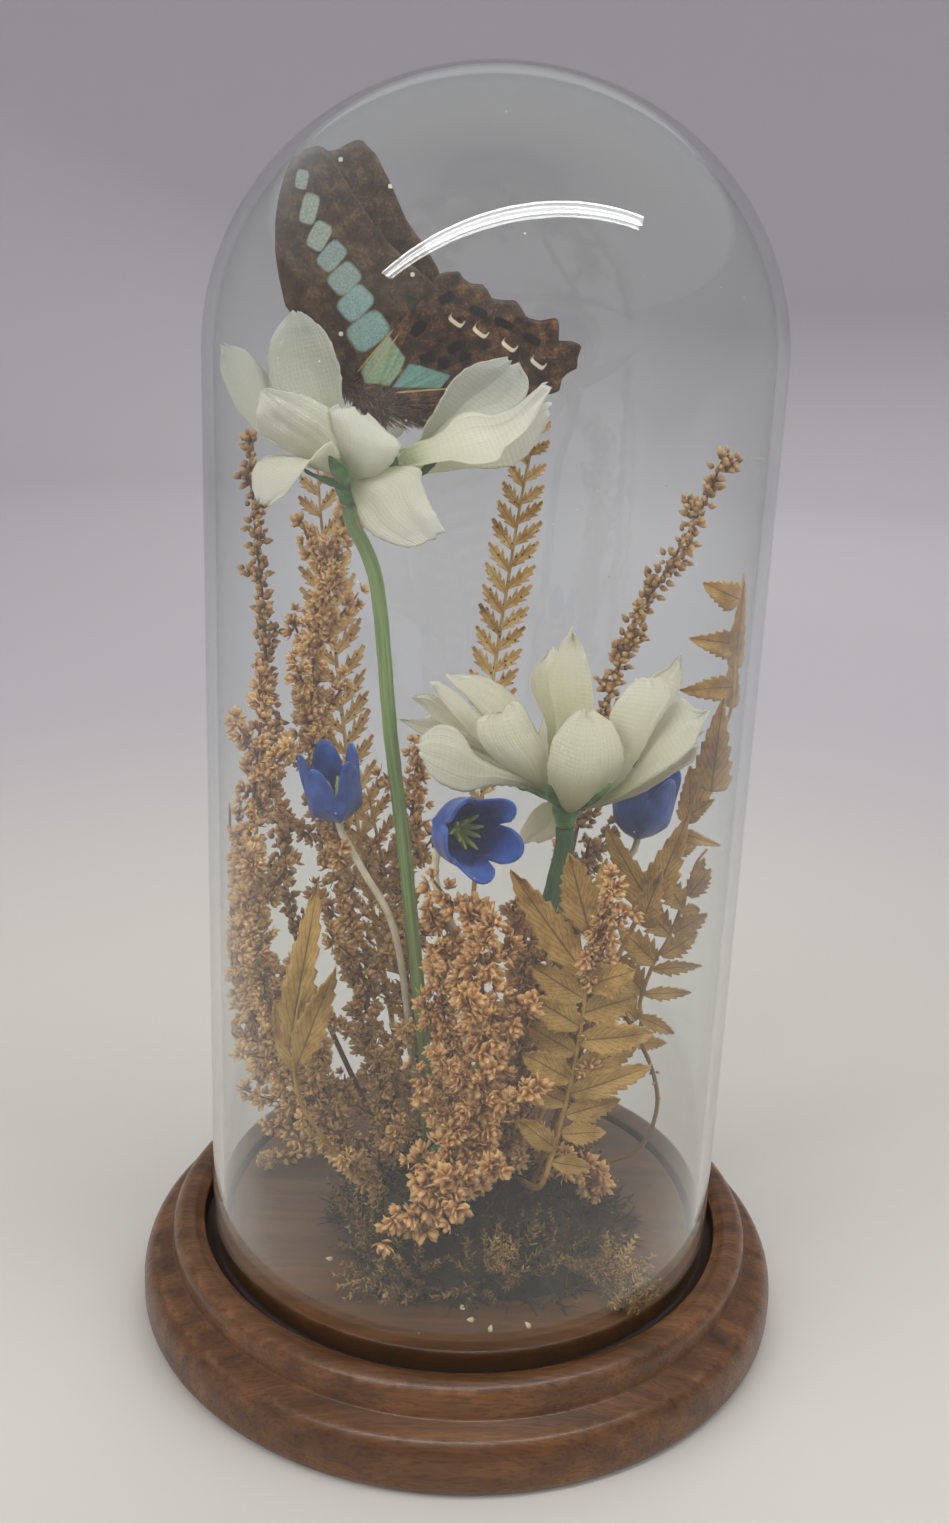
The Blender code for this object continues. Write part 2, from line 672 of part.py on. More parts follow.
def frond(name, points, foot, facing, pairs, stalk, reach, blades=((1.0, 0),), lean=0.5, right=1.0):
    """A dried fern frond; reach is the longest pinna and blades are its (length, width) steps.

    Widths are shares of the space between pinnae, under 1 so that no pinna crosses the next.
    """
    rib_width = 1.3
    rib_radius = 0.8
    route = smooth_route(planted(name, points, foot, rib_radius)[::-1], 9)
    length = sum((end - start).length for start, end in zip(route, route[1:]))
    stalk_rows = 4
    rows = pairs + stalk_rows
    bm = bmesh.new()
    bmesh.ops.create_grid(bm, x_segments=1, y_segments=rows, size=0.5)
    for vert in bm.verts:
        row = round((vert.co.y + 0.5) * rows)
        leafy = max(0, row - stalk_rows) / pairs
        vert.co.y = stalk * min(row, stalk_rows) / stalk_rows + (1 - stalk) * leafy
        vert.co.x *= rib_width
    edges = [e for e in bm.edges if abs(e.verts[0].co.x - e.verts[1].co.x) < 1e-6]
    edges = [e for e in edges if min(v.co.y for v in e.verts) >= stalk - 1e-6]
    for rib_edge in edges:
        side = math.copysign(1, rib_edge.verts[0].co.x)
        place = (sum(v.co.y for v in rib_edge.verts) / 2 - stalk) / (1 - stalk)
        size = reach * min(1.0, 0.45 + 2.2 * place) * min(1.0, 1.9 * (1.03 - place))
        size *= right if side > 0 else 1.0
        centre = sum((v.co for v in rib_edge.verts), Vector()) / 2
        base_half = abs(rib_edge.verts[0].co.y - rib_edge.verts[1].co.y) / 2
        edge = rib_edge
        for out, wide in blades:
            grown = bmesh.ops.extrude_edge_only(bm, edges=[edge])["geom"]
            edge = next(item for item in grown if isinstance(item, bmesh.types.BMEdge))
            middle = centre + Vector((side * size * out, lean * size * out / length, 0))
            lower, upper = sorted(edge.verts, key=lambda vert: vert.co.y)
            lower.co = middle - Vector((0, base_half * wide, 0))
            upper.co = middle + Vector((0, base_half * wide, 0))
    bmesh.ops.remove_doubles(bm, verts=bm.verts, dist=0.0001)
    lay_on_route(bm, route, facing)
    bmesh.ops.recalc_face_normals(bm, faces=bm.faces)
    made = add_object(name, mesh_from(bm, name), DRY_FERN)
    thicken(made, 0.5)


FERNS = {
    "fern_back_right": {
        "points": [
            (8, 12, 174),
            (6, 13, 161),
            (4, 13, 143),
            (2, 11, 124),
            (1, 9, 103),
            (0, 7, 72),
        ],
        "foot": (1.0, 4.0),
        "facing": (0, -1, 0),
        "pairs": 12,
        "stalk": 0.5,
        "reach": 5.0,
    },
    "fern_right_edge": {
        "points": [
            (42, -6, 151),
            (43.5, -6, 138),
            (43.5, -6, 124),
            (42.5, -5, 110),
            (40, -3, 93),
            (32, 0, 65),
        ],
        "foot": (13.0, -2.0),
        "facing": (-0.3, -1, 0),
        "pairs": 8,
        "stalk": 0.35,
        "reach": 8.5,
        "blades": ((0.5, 0.86), (1.0, 0)),
        "right": 0.35,
    },
    "fern_right_low": {
        "points": [(43, 8, 104), (42, 8, 92), (38, 9, 78), (33, 9, 62), (25, 7, 48)],
        "foot": (15.0, 4.0),
        "facing": (0, -1, 0.3),
        "pairs": 10,
        "stalk": 0.3,
        "reach": 8.0,
    },
    "fern_front": {
        "points": [(16, -21, 106), (19, -22, 95), (21, -23, 82), (20, -22, 66), (16, -20, 50)],
        "foot": (11.0, -16.0),
        "facing": (0, -1, 0.3),
        "pairs": 6,
        "stalk": 0.3,
        "reach": 15.0,
        "blades": ((0.45, 0.7), (1.0, 0)),
        "lean": 0.9,
    },
    "fern_left_leaf": {
        "points": [
            (-27, -17, 95),
            (-28.5, -18, 86),
            (-30, -18, 76),
            (-30, -18, 66),
            (-25, -17, 52),
        ],
        "foot": (-14.0, -14.0),
        "facing": (0, -1, 0.2),
        "pairs": 4,
        "stalk": 0.35,
        "reach": 6.0,
        "blades": ((0.6, 0.76), (1.0, 0.45)),
        "lean": 0.9,
    },
    "fern_back_left": {
        "points": [
            (-32, 12, 168),
            (-31, 14, 153),
            (-29, 15, 136),
            (-27, 15, 118),
            (-24, 14, 98),
            (-17, 11, 62),
        ],
        "foot": (-10.0, 7.0),
        "facing": (0.2, -1, 0),
        "pairs": 13,
        "stalk": 0.25,
        "reach": 7.0,
    },
    "fern_middle_left": {
        "points": [(-21, 5, 106), (-18, 6, 91), (-15, 7, 76), (-12, 7, 58)],
        "foot": (-5.0, 6.0),
        "facing": (0, -1, 0),
        "pairs": 8,
        "stalk": 0.25,
        "reach": 7.0,
    },
}


# Seed plumes: a wiry stem, thick where the florets crowd on it, with tapering side twigs.


def plume(name, points, foot, twigs, twig_length, thickness, bare=0.35):
    """A dried plume; its twigs turn round the stem and shorten towards the tip."""
    stem_radius = 0.6
    sides = 5
    route = smooth_route(planted(name, points, foot, stem_radius)[::-1], 12)
    last = len(route) - 1
    radii = []
    for index in range(last + 1):
        share = index / last
        crowded = min(1.0, max(0.0, (share - bare) / 0.15)) * min(1.0, 6 * (1.05 - share))
        radii.append(stem_radius + (thickness * (1.3 - 0.6 * share) - stem_radius) * crowded)
    bm = sleeve(route, radii, sides)
    frames = frames_along(route)
    first = math.ceil(bare * last)
    stations = sorted({first + round((last - 1 - first) * k / max(1, twigs - 1)) for k in range(twigs)})
    half_side = 180 / sides
    for count, station in enumerate(stations):
        along, across = frames[station][1:]
        turn = half_side * (4 * count + 1)  # each twig leaves two sides further round than the last
        toward = Matrix.Rotation(math.radians(turn), 3, along) @ across
        middle = (route[station] + route[station + 1]) / 2
        near = 1.6 * radii[station]
        ring = [face for face in bm.faces if (face.calc_center_median() - middle).length < near]
        root = max(ring, key=lambda face: face.normal.dot(toward))
        reach = twig_length * (1.2 - 0.6 * station / last)
        step = (root.normal + along * 0.9).normalized() * reach
        twig = bmesh.ops.extrude_discrete_faces(bm, faces=[root])["faces"][0]
        centre = twig.calc_center_median()
        for vert in twig.verts:
            vert.co = centre + step + (vert.co - centre) * 0.25
        bm.normal_update()
    bmesh.ops.recalc_face_normals(bm, faces=bm.faces)
    add_object(name, mesh_from(bm, name), DRY_PLUME)


PLUMES = {
    "plume_left_spike": {
        "points": [
            (-43, 2, 173),
            (-42.5, 3, 160),
            (-41, 4, 142),
            (-40, 5, 120),
            (-38, 5, 98),
            (-33, 3, 70),
        ],
        "foot": (-14.0, -3.0),
        "twigs": 6,
        "twig_length": 6.0,
        "thickness": 1.6,
    },
    "plume_bushy": {
        "points": [
            (-25, 1, 162),
            (-27, 1, 153),
            (-30, 0, 140),
            (-32, -1, 124),
            (-33, -2, 106),
            (-29, -4, 76),
        ],
        "foot": (-13.0, -7.0),
        "twigs": 7,
        "twig_length": 8.0,
        "thickness": 2.4,
    },
    "plume_left_side": {
        "points": [
            (-39, -8, 128),
            (-40, -10, 114),
            (-41, -12, 98),
            (-40, -13, 81),
            (-35, -13, 62),
        ],
        "foot": (-18.0, -10.0),
        "twigs": 6,
        "twig_length": 7.0,
        "thickness": 1.8,
    },
    "plume_right_spike": {
        "points": [
            (43, 9, 172),
            (39.5, 11, 161),
            (34.5, 14, 149),
            (29, 17, 137),
            (25, 18, 120),
            (21, 15, 100),
            (16, 8, 70),
        ],
        "foot": (9.0, 3.0),
        "twigs": 5,
        "twig_length": 4.0,
        "thickness": 1.6,
        "bare": 0.45,
    },
    "plume_behind_stem": {
        "points": [(-11.5, 5, 117), (-12, 5, 104), (-11.5, 4, 86), (-10, 2, 66)],
        "foot": (-4.5, 1.0),
        "twigs": 4,
        "twig_length": 4.0,
        "thickness": 1.2,
    },
    "plume_dark": {
        "points": [(22, 1, 99), (19, 0, 86), (15, -1, 72), (11, -3, 56)],
        "foot": (7.0, -4.5),
        "twigs": 4,
        "twig_length": 4.0,
        "thickness": 1.4,
    },
    "plume_front_right": {
        "points": [(24, -28, 104), (25, -29, 94), (25, -30, 80), (20, -28, 60)],
        "foot": (13.0, -20.0),
        "twigs": 4,
        "twig_length": 4.0,
        "thickness": 1.8,
    },
    "plume_centre": {
        "points": [(1, -25, 97), (2, -28, 84), (3, -29, 70), (3, -27, 55)],
        "foot": (3.0, -20.0),
        "twigs": 5,
        "twig_length": 9.0,
        "thickness": 3.0,
        "bare": 0.2,
    },
    "plume_centre_right": {
        "points": [(9, -15, 91), (10, -17, 80), (10, -18, 66), (9, -18, 52)],
        "foot": (6.5, -15.0),
        "twigs": 4,
        "twig_length": 6.0,
        "thickness": 2.0,
        "bare": 0.3,
    },
    "plume_centre_left": {
        "points": [(-12, -17, 92), (-11, -19, 80), (-8, -20, 67), (-4, -20, 53)],
        "foot": (-1.5, -16.0),
        "twigs": 5,
        "twig_length": 6.0,
        "thickness": 2.2,
        "bare": 0.3,
    },
    "plume_low_front": {
        "points": [(-8, -36, 36), (-6, -34, 41), (-3, -30, 45), (-1, -26, 42)],
        "foot": (0.0, -24.0),
        "twigs": 3,
        "twig_length": 4.0,
        "thickness": 2.2,
        "bare": 0.4,
    },
    "plume_low_right": {
        "points": [(34, -15, 31), (28, -15, 34), (22, -14, 38)],
        "foot": (16.0, -12.0),
        "twigs": 3,
        "twig_length": 4.0,
        "thickness": 1.8,
        "bare": 0.4,
    },
    "plume_left_low": {
        "points": [(-44, -5, 95), (-44, -7, 82), (-42, -9, 68), (-35, -10, 52)],
        "foot": (-20.0, -6.0),
        "twigs": 4,
        "twig_length": 4.0,
        "thickness": 1.8,
        "bare": 0.4,
    },
    "plume_low_left": {
        "points": [(-43, 3, 46), (-38, 2, 47), (-32, 1, 44), (-25, 0, 38)],
        "foot": (-18.0, -1.0),
        "twigs": 2,
        "twig_length": 3.0,
        "thickness": 1.5,
        "bare": 0.6,
    },
}


BARE_STEM_RADIUS = 0.6
BARE_STEM = [(27, 2, 68), (33, 3, 58), (38, 3, 48), (39, 1, 40), (35, -1, 32)]
BUD_STRING = [(-42, 7, 21), (-40, 9, 21), (-36, 11, 20), (-31, 14, 20.2), (-26, 16, 20), (-20, 19, 20)]


def make_loose_stems():
    """A bare curling stem, and a fallen string that ends in a round fuzzy bud."""
    route = smooth_route(planted("bare_stem", BARE_STEM, (23.0, -2.0), BARE_STEM_RADIUS), 9)
    bare = sleeve(route, [BARE_STEM_RADIUS] * len(route), 5)
    add_object("bare_stem", mesh_from(bare, "bare_stem"), DRY_PLUME)
    places = [Vector(place) for place in BUD_STRING]
    string = sleeve(places, [1.6, 2.1, 0.7, 0.9, 0.7, 0.8], 6)
    add_object("fallen_bud_string", mesh_from(string, "fallen_bud_string"), DRY_PLUME)


def main():
    make_base()
    make_dome()
    make_tall_flower()
    make_short_flower()
    for side, flower in BLUE_FLOWERS.items():
        make_blue_flower(side, flower)
    make_butterfly()
    for name, fern in FERNS.items():
        frond(name, **fern)
    for name, stalk in PLUMES.items():
        plume(name, **stalk)
    make_loose_stems()
    make_mound()


main()
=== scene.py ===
import math
import random

import bmesh
import bpy
from mathutils import Matrix, Quaternion, Vector, noise


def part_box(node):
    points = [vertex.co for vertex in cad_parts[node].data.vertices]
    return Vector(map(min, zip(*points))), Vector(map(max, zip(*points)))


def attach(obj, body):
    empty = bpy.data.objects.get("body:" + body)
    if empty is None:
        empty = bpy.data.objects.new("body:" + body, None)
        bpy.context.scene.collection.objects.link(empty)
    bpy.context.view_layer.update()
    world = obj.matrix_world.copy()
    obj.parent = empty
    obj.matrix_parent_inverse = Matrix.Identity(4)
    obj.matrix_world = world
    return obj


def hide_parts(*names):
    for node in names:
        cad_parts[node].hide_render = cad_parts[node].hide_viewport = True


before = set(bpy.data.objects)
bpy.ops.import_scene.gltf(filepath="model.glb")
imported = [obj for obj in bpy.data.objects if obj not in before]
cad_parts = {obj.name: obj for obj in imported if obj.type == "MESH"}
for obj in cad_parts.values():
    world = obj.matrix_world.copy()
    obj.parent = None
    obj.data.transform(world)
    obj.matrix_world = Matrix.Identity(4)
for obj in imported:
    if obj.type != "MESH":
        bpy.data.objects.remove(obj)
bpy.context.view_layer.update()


# The base.
# One disc of hardwood, turned on a lathe with a raised platform, a groove for the glass, a bead and a
# wide foot. It is stained walnut brown under a satin lacquer, and its edges are rubbed pale, with painted
# highlights along them; the groove is darkened with grime and painted shade.

MM = 0.001
BASE_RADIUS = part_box("wood_base")[1].x / MM
BASE_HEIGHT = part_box("wood_base")[1].z / MM
GROOVE_FLOOR = BASE_HEIGHT - 4.8
PLATFORM_RADIUS = 46.6
RIM_RADIUS = 51.8
BEAD_RADIUS = BASE_RADIUS - 6.0
BEAD_FOOT = 12.2
BEAD_ROUND = (3.2, 2.9)
FOOT_TOP = 11.2
FOOT_ROUND = (3.2, 5.8)
HEEL_ROUND = (2.4, 2.6)
SOFT_EDGE = 0.5
GROOVE_CORNER = 0.4
LATHE_STEPS = 160


def arc(centre, radii, first, last, count):
    """Points of an elliptical arc in a turned profile, from one angle to another in degrees."""
    turns = [math.radians(first + (last - first) * step / count) for step in range(count + 1)]
    return [(centre[0] + radii[0] * math.cos(t), centre[1] + radii[1] * math.sin(t)) for t in turns]


def turned(profile, steps):
    """Spins a profile of (radius, height) points in mm once round the Z axis."""
    bm = bmesh.new()
    corners = [bm.verts.new((radius, 0, height)) for radius, height in profile]
    edges = [bm.edges.new(pair) for pair in zip(corners, corners[1:])]
    bmesh.ops.spin(bm, geom=corners + edges, axis=(0, 0, 1), angle=2 * math.pi, steps=steps, use_merge=True)
    bmesh.ops.remove_doubles(bm, verts=bm.verts, dist=0.001)
    bmesh.ops.recalc_face_normals(bm, faces=bm.faces)
    return bm


def mesh_of(name, bm, *finishes):
    """Turns a bmesh in mm into a smooth-shaded mesh in metres."""
    bmesh.ops.scale(bm, vec=(MM, MM, MM), verts=bm.verts)
    mesh = bpy.data.meshes.new(name)
    bm.to_mesh(mesh)
    bm.free()
    mesh.shade_smooth()
    for finish in finishes:
        mesh.materials.append(finish)
    return mesh


def added(name, data):
    """A new object in the scene."""
    made = bpy.data.objects.new(name, data)
    bpy.context.scene.collection.objects.link(made)
    return made


def add_piece(name, bm, slot, nodes, *finishes):
    """Adds a finished piece, which stands for its CAD nodes and hides them; its slot argument is not used.
    """
    made = added(name, mesh_of(name, bm, *finishes))
    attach(made, "root")
    if nodes:
        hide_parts(*nodes)
    return made


def linear(hex_colour):
    """An sRGB hex colour as the linear colour that a shader takes."""
    channels = [int(hex_colour[i : i + 2], 16) / 255 for i in (0, 2, 4)]
    return (*[c / 12.92 if c < 0.04045 else ((c + 0.055) / 1.055) ** 2.4 for c in channels], 1.0)


def new_finish(name):
    """A new material, with its node tree and its Principled shader."""
    made = bpy.data.materials.new(name)
    made.use_nodes = True
    return made, made.node_tree, made.node_tree.nodes["Principled BSDF"]


def add(tree, kind, sockets, stops=(), **settings):
    """Adds a shader node; each of its sockets takes a value or another node's output."""
    made = tree.nodes.new("ShaderNode" + kind)
    for name, value in settings.items():
        setattr(made, name, value)
    for key, value in sockets.items():
        if isinstance(value, bpy.types.NodeSocket):
            tree.links.new(value, made.inputs[key])
        else:
            made.inputs[key].default_value = value
    for index, (place, colour) in enumerate(stops):
        held = made.color_ramp.elements
        stop = held[index] if index < 2 else held.new(place)
        stop.position = place
        stop.color = linear(colour)
    return made


def connect(tree, shader, sockets):
    """Links outputs to a shader's sockets, or sets their values."""
    for key, value in sockets.items():
        if isinstance(value, bpy.types.NodeSocket):
            tree.links.new(value, shader.inputs[key])
        else:
            shader.inputs[key].default_value = value


def coordinates(tree, kind="Object"):
    """Where each point of a piece lies: in the piece's own space, or on its sheet with UV."""
    return add(tree, "TexCoord", {}).outputs[kind]


def stretched(tree, place, scale):
    """A place with its own scale along each axis."""
    return add(tree, "Mapping", {"Vector": place, "Scale": scale}).outputs[0]


def in_cells(tree, place, *sizes):
    """A place measured in cells that are so many mm long along each axis."""
    return stretched(tree, place, tuple(1 / (size * MM) for size in sizes))


def grain(tree, place, size, detail, roughness=0.5):
    """Cloudy noise in patches about size mm wide; on a stretched place, size is its scale instead."""
    scale = size if place.node.type == "MAPPING" else 1 / (size * MM)
    sockets = {"Vector": place, "Scale": scale, "Detail": detail, "Roughness": roughness}
    return add(tree, "TexNoise", sockets).outputs[0]


def ramp(tree, amount, *stops):
    """A colour for each amount; the first two stops are the ends, and more lie between them."""
    return add(tree, "ValToRGB", {"Fac": amount}, stops=stops).outputs[0]


def ranged(tree, amount, low, high, start=0.0, end=1.0, ease="LINEAR"):
    """Carries an amount between low and high over to between start and end."""
    sockets = {"Value": amount, "From Min": low, "From Max": high, "To Min": start, "To Max": end}
    return add(tree, "MapRange", sockets, interpolation_type=ease).outputs[0]


def maths(tree, operation, *amounts):
    """Arithmetic with amounts, each a value or an output."""
    return add(tree, "Math", dict(enumerate(amounts)), operation=operation).outputs[0]


def blended(tree, share, below, above):
    """Mixes two colours; a share of 1 gives the one above."""
    return add(tree, "Mix", {0: share, 6: below, 7: above}, data_type="RGBA").outputs[2]


def bumps(tree, height, strength, depth):
    """Small relief, depth mm deep, for a shader's Normal."""
    return add(tree, "Bump", {"Height": height, "Strength": strength, "Distance": depth * MM}).outputs[0]


def base_profile():
    """From the middle of the platform outwards, over the groove, bead and foot, to the underside."""
    soft = (SOFT_EDGE, SOFT_EDGE)
    return [
        *[(radius, BASE_HEIGHT) for radius in (0, 20, 40)],
        *arc((PLATFORM_RADIUS - SOFT_EDGE, BASE_HEIGHT - SOFT_EDGE), soft, 90, 0, 4),
        (PLATFORM_RADIUS, GROOVE_FLOOR + GROOVE_CORNER),
        (PLATFORM_RADIUS + GROOVE_CORNER, GROOVE_FLOOR),
        (RIM_RADIUS - GROOVE_CORNER, GROOVE_FLOOR),
        (RIM_RADIUS, GROOVE_FLOOR + GROOVE_CORNER),
        *arc((RIM_RADIUS + SOFT_EDGE, BASE_HEIGHT - 1.6), soft, 180, 110, 3),
        *arc((BEAD_RADIUS - BEAD_ROUND[0], BASE_HEIGHT - BEAD_ROUND[1]), BEAD_ROUND, 112, 0, 12),
        (BEAD_RADIUS, BEAD_FOOT + SOFT_EDGE),
        *arc((BEAD_RADIUS + SOFT_EDGE, BEAD_FOOT + SOFT_EDGE), soft, 180, 262, 3),
        (BASE_RADIUS - 3.6, FOOT_TOP),
        *arc((BASE_RADIUS - FOOT_ROUND[0], 5.2), FOOT_ROUND, 84, 0, 12),
        *arc((BASE_RADIUS - HEEL_ROUND[0], HEEL_ROUND[1]), HEEL_ROUND, 0, -90, 6),
        (30, 0),
        (0, 0),
    ]


def stained_walnut():
    """Hardwood with walnut stain: long streaks, short dark pores, satin lacquer worn at its edges, where
    highlights are painted pale, and grime and painted shade in the groove.
    """
    finish, tree, shader = new_finish("walnut_stained_hardwood")
    place = coordinates(tree)
    streaks = grain(tree, in_cells(tree, place, 40, 1.4, 2.4), 0.45, 6, 0.62)
    flecks = grain(tree, in_cells(tree, place, 3.5, 0.34, 0.5), 1.0, 2)
    clouds = grain(tree, place, 22, 3)
    wood = ramp(tree, streaks, (0.26, "351F0D"), (0.76, "7A5029"), (0.5, "5A391C"))
    pitted, cloudy = ranged(tree, flecks, 0.34, 0.52, 0.55), ranged(tree, clouds, 0.3, 0.7, 0.72)
    shade = maths(tree, "MULTIPLY", pitted, cloudy)
    toned = blended(tree, shade, linear("2B170C"), wood)
    # Pale rings of rubbed lacquer, which also paint the highlights along the rim, bead and foot.
    worn_and_lit = add(tree, "Attribute", {}, attribute_name="wear").outputs["Fac"]
    rubbed_and_lit = ranged(tree, grain(tree, place, 4.5, 7, 0.7), 0.46, 0.68, 0.0, 0.55)
    pale = blended(tree, maths(tree, "MULTIPLY", rubbed_and_lit, worn_and_lit), toned, linear("8C6A4A"))
    # Grime and painted shade darken the groove.
    dirt_and_shade = add(tree, "Attribute", {}, attribute_name="grime").outputs["Fac"]
    sockets = {
        "Base Color": blended(tree, dirt_and_shade, pale, linear("2A1C12")),
        "Roughness": ranged(tree, flecks, 0.3, 0.6, 0.46, 0.3),
        "Normal": bumps(tree, flecks, 0.25, 0.12),
        "Coat Weight": 0.18,
        "Coat Roughness": 0.22,
    }
    connect(tree, shader, sockets)
    return finish


# Where hands rub the base, and where its highlights are painted: radius and height of each pale ring in mm,
# and how far it spreads.
WORN_AND_LIT_RINGS = [(RIM_RADIUS + 0.4, 17.4, 0.7), (BEAD_RADIUS - 1.0, 17.6, 1.3), (61.6, 10.6, 1.2)]


def mark_wear_and_painted_light(bm):
    """Marks the rubbed rim, crest and foot, where highlights are painted too, and the grime and painted
    shade in the groove.
    """
    wear = bm.verts.layers.float.new("wear")
    grime = bm.verts.layers.float.new("grime")
    for vert in bm.verts:
        radius, height = math.hypot(vert.co.x, vert.co.y), vert.co.z
        in_groove = PLATFORM_RADIUS - 0.6 < radius < RIM_RADIUS and height > GROOVE_FLOOR - 1
        # Darker further down the groove: grime and painted shade.
        vert[grime] = min(1.0, max(0.0, (BASE_HEIGHT - height) / 1.5)) if in_groove else 0.0
        for ring_radius, ring_height, reach in WORN_AND_LIT_RINGS:
            away = math.hypot(radius - ring_radius, height - ring_height)
            vert[wear] = max(vert[wear], 1 - away / reach)


base = turned(base_profile(), LATHE_STEPS)
mark_wear_and_painted_light(base)
add_piece("turned_base", base, "walnut_stained_wood", ["wood_base"], stained_walnut())


# The glass.
# One dome blown from clear glass, 2 mm thick, with a fire-polished rim. It only stands in the groove.
# Years of dust lie on its inside, thickest low down, and are made as a film of their own.

GLASS_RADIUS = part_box("glass_dome")[1].x / MM
GLASS_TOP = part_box("glass_dome")[1].z / MM
GLASS_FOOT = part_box("glass_dome")[0].z / MM
GLASS_WALL = 2.0
DOME_RISE = 47.5
SPRING_HEIGHT = GLASS_TOP - DOME_RISE
INSIDE_RADIUS = GLASS_RADIUS - GLASS_WALL
VEIL_HEIGHTS = (20 * MM, 105 * MM)
VEIL_SIDES = (30 * MM, 47 * MM)
VEIL_COVER = 0.036


def dome_profile(radius, rise, foot, count):
    """From the top of a dome down its round shoulder and straight wall."""
    wall = [(radius, SPRING_HEIGHT - (SPRING_HEIGHT - foot) * step / 12) for step in range(1, 13)]
    return [*arc((0, SPRING_HEIGHT), (radius, rise), 90, 0, count), *wall]


def axis_of(tree, place, axis):
    """How far each point of a place lies along one axis."""
    return add(tree, "SeparateXYZ", {0: place}).outputs[axis]


def glass_profile():
    """The dome's wall in section: down its outside, round the rim, and up its inside."""
    half = GLASS_WALL / 2
    outside = dome_profile(GLASS_RADIUS, DOME_RISE, GLASS_FOOT + half, 36)
    rim = arc((GLASS_RADIUS - half, GLASS_FOOT + half), (half, half), 0, -180, 8)
    inside = dome_profile(INSIDE_RADIUS, DOME_RISE - GLASS_WALL, GLASS_FOOT + half, 36)
    return [*outside, *rim[1:-1], *inside[::-1]]


def clear_glass():
    """Soda-lime glass: colourless face on, a little green where the eye looks along the wall."""
    finish, tree, shader = new_finish("clear_soda_lime_glass")
    sockets = {"Base Color": linear("FAFCFB"), "Roughness": 0.0, "IOR": 1.5, "Transmission Weight": 1.0}
    connect(tree, shader, sockets)
    green = add(tree, "VolumeAbsorption", {"Color": linear("C9DDD2"), "Density": 22.0})
    tree.links.new(green.outputs[0], tree.nodes["Material Output"].inputs["Volume"])
    return finish


def glass_dust():
    """Dust and old vapour on glass: a milky veil, thicker low down and at the sides, with pale grains."""
    finish, tree, shader = new_finish("dust_on_glass")
    place = coordinates(tree)
    low = ranged(tree, axis_of(tree, place, "Z"), *VEIL_HEIGHTS, 1.0, 0.0, "SMOOTHSTEP")
    streaky = ranged(tree, grain(tree, place, 9, 5), 0.3, 0.75, 0.5)
    aside = maths(tree, "ABSOLUTE", axis_of(tree, place, "X"))
    sides = ranged(tree, aside, *VEIL_SIDES, 0.35, 3.4, "SMOOTHSTEP")
    veil = maths(tree, "MULTIPLY", low, maths(tree, "MULTIPLY", streaky, sides))
    thin = maths(tree, "MULTIPLY_ADD", veil, VEIL_COVER, 0.002)
    cells = add(tree, "TexVoronoi", {"Vector": place, "Scale": 1 / (3.2 * MM)})
    grains = ranged(tree, cells.outputs["Distance"], 0.06, 0.04, 0.0, 0.5)
    chosen = add(tree, "SeparateColor", {0: cells.outputs["Color"]}).outputs[0]
    few = maths(tree, "GREATER_THAN", chosen, 0.8)
    cover = maths(tree, "MAXIMUM", thin, maths(tree, "MULTIPLY", grains, few))
    connect(tree, shader, {"Base Color": linear("D8D6CF"), "Roughness": 1.0, "Alpha": cover})
    return finish


glass = turned(glass_profile(), LATHE_STEPS)
dome = add_piece("blown_glass_dome", glass, "dome_glass", ["glass_dome"], clear_glass())
dome.visible_shadow = False

# The dust is a film just inside the glass, as thick as the gap before it.
FILM = 0.04
film_outside, film_inside = [
    dome_profile(INSIDE_RADIUS - gap, DOME_RISE - GLASS_WALL - gap, BASE_HEIGHT + 0.4, 24)
    for gap in (FILM, 2 * FILM)
]
film = turned([*film_outside, *film_inside[::-1]], 128)
dust = add_piece("dust_film", film, "dome_glass", [], glass_dust())
dust.visible_shadow = False


# The moss.
# A cushion of dried moss glued over florist's foam, low and uneven, that holds every stem. Its curly
# strands stand out all over it, feathery clumps lie round its edge, and a wisp has slipped off it.

MOUND_CENTRE = (4.0, -9.0)
MOUND_RADII = (27.0, 24.0)
MOUND_RISE = 17.0
MOUND_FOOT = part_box("moss_mound")[0].z / MM
STRANDS = 2300
LEAFY_SHARE = 0.08
NEXT_LEAF = 2.4  # radians from one leaf or floret round its stalk to the next
chance = random.Random(11)


def mound_height(x, y):
    """Height of the moss over a point of the platform, as the solid cushion has it."""
    across = Vector(((x - MOUND_CENTRE[0]) / MOUND_RADII[0], (y - MOUND_CENTRE[1]) / MOUND_RADII[1]))
    rise = max(0.0, 1 - across.length_squared) ** 0.7
    lumps = 1 + 0.06 * math.sin(0.55 * x + 1.0) * math.cos(0.45 * y)
    return MOUND_FOOT + MOUND_RISE * rise * lumps


def sheet_of(columns, rows):
    """A flat grid, 1 by 1 round the middle, with UV across and along it, to lay out as a thin shape."""
    bm = bmesh.new()
    bm.loops.layers.uv.new("across_and_along")
    bmesh.ops.create_grid(bm, x_segments=columns, y_segments=rows, size=0.5, calc_uvs=True)
    return bm


def around(across, along, turn):
    """The direction that stands off a route at a turn round it."""
    return across * math.cos(turn) + along.cross(across) * math.sin(turn)


def frames_along(route):
    """Each place of a route with its direction and a sideways direction that doesn't twist."""
    across = Vector((1, 0, 0))
    found = []
    for index, place in enumerate(route):
        ahead = route[min(index + 1, len(route) - 1)] - route[max(index - 1, 0)]
        along = ahead.normalized()
        across = (across - along * across.dot(along)).normalized()
        found.append((place, along, across))
    return found


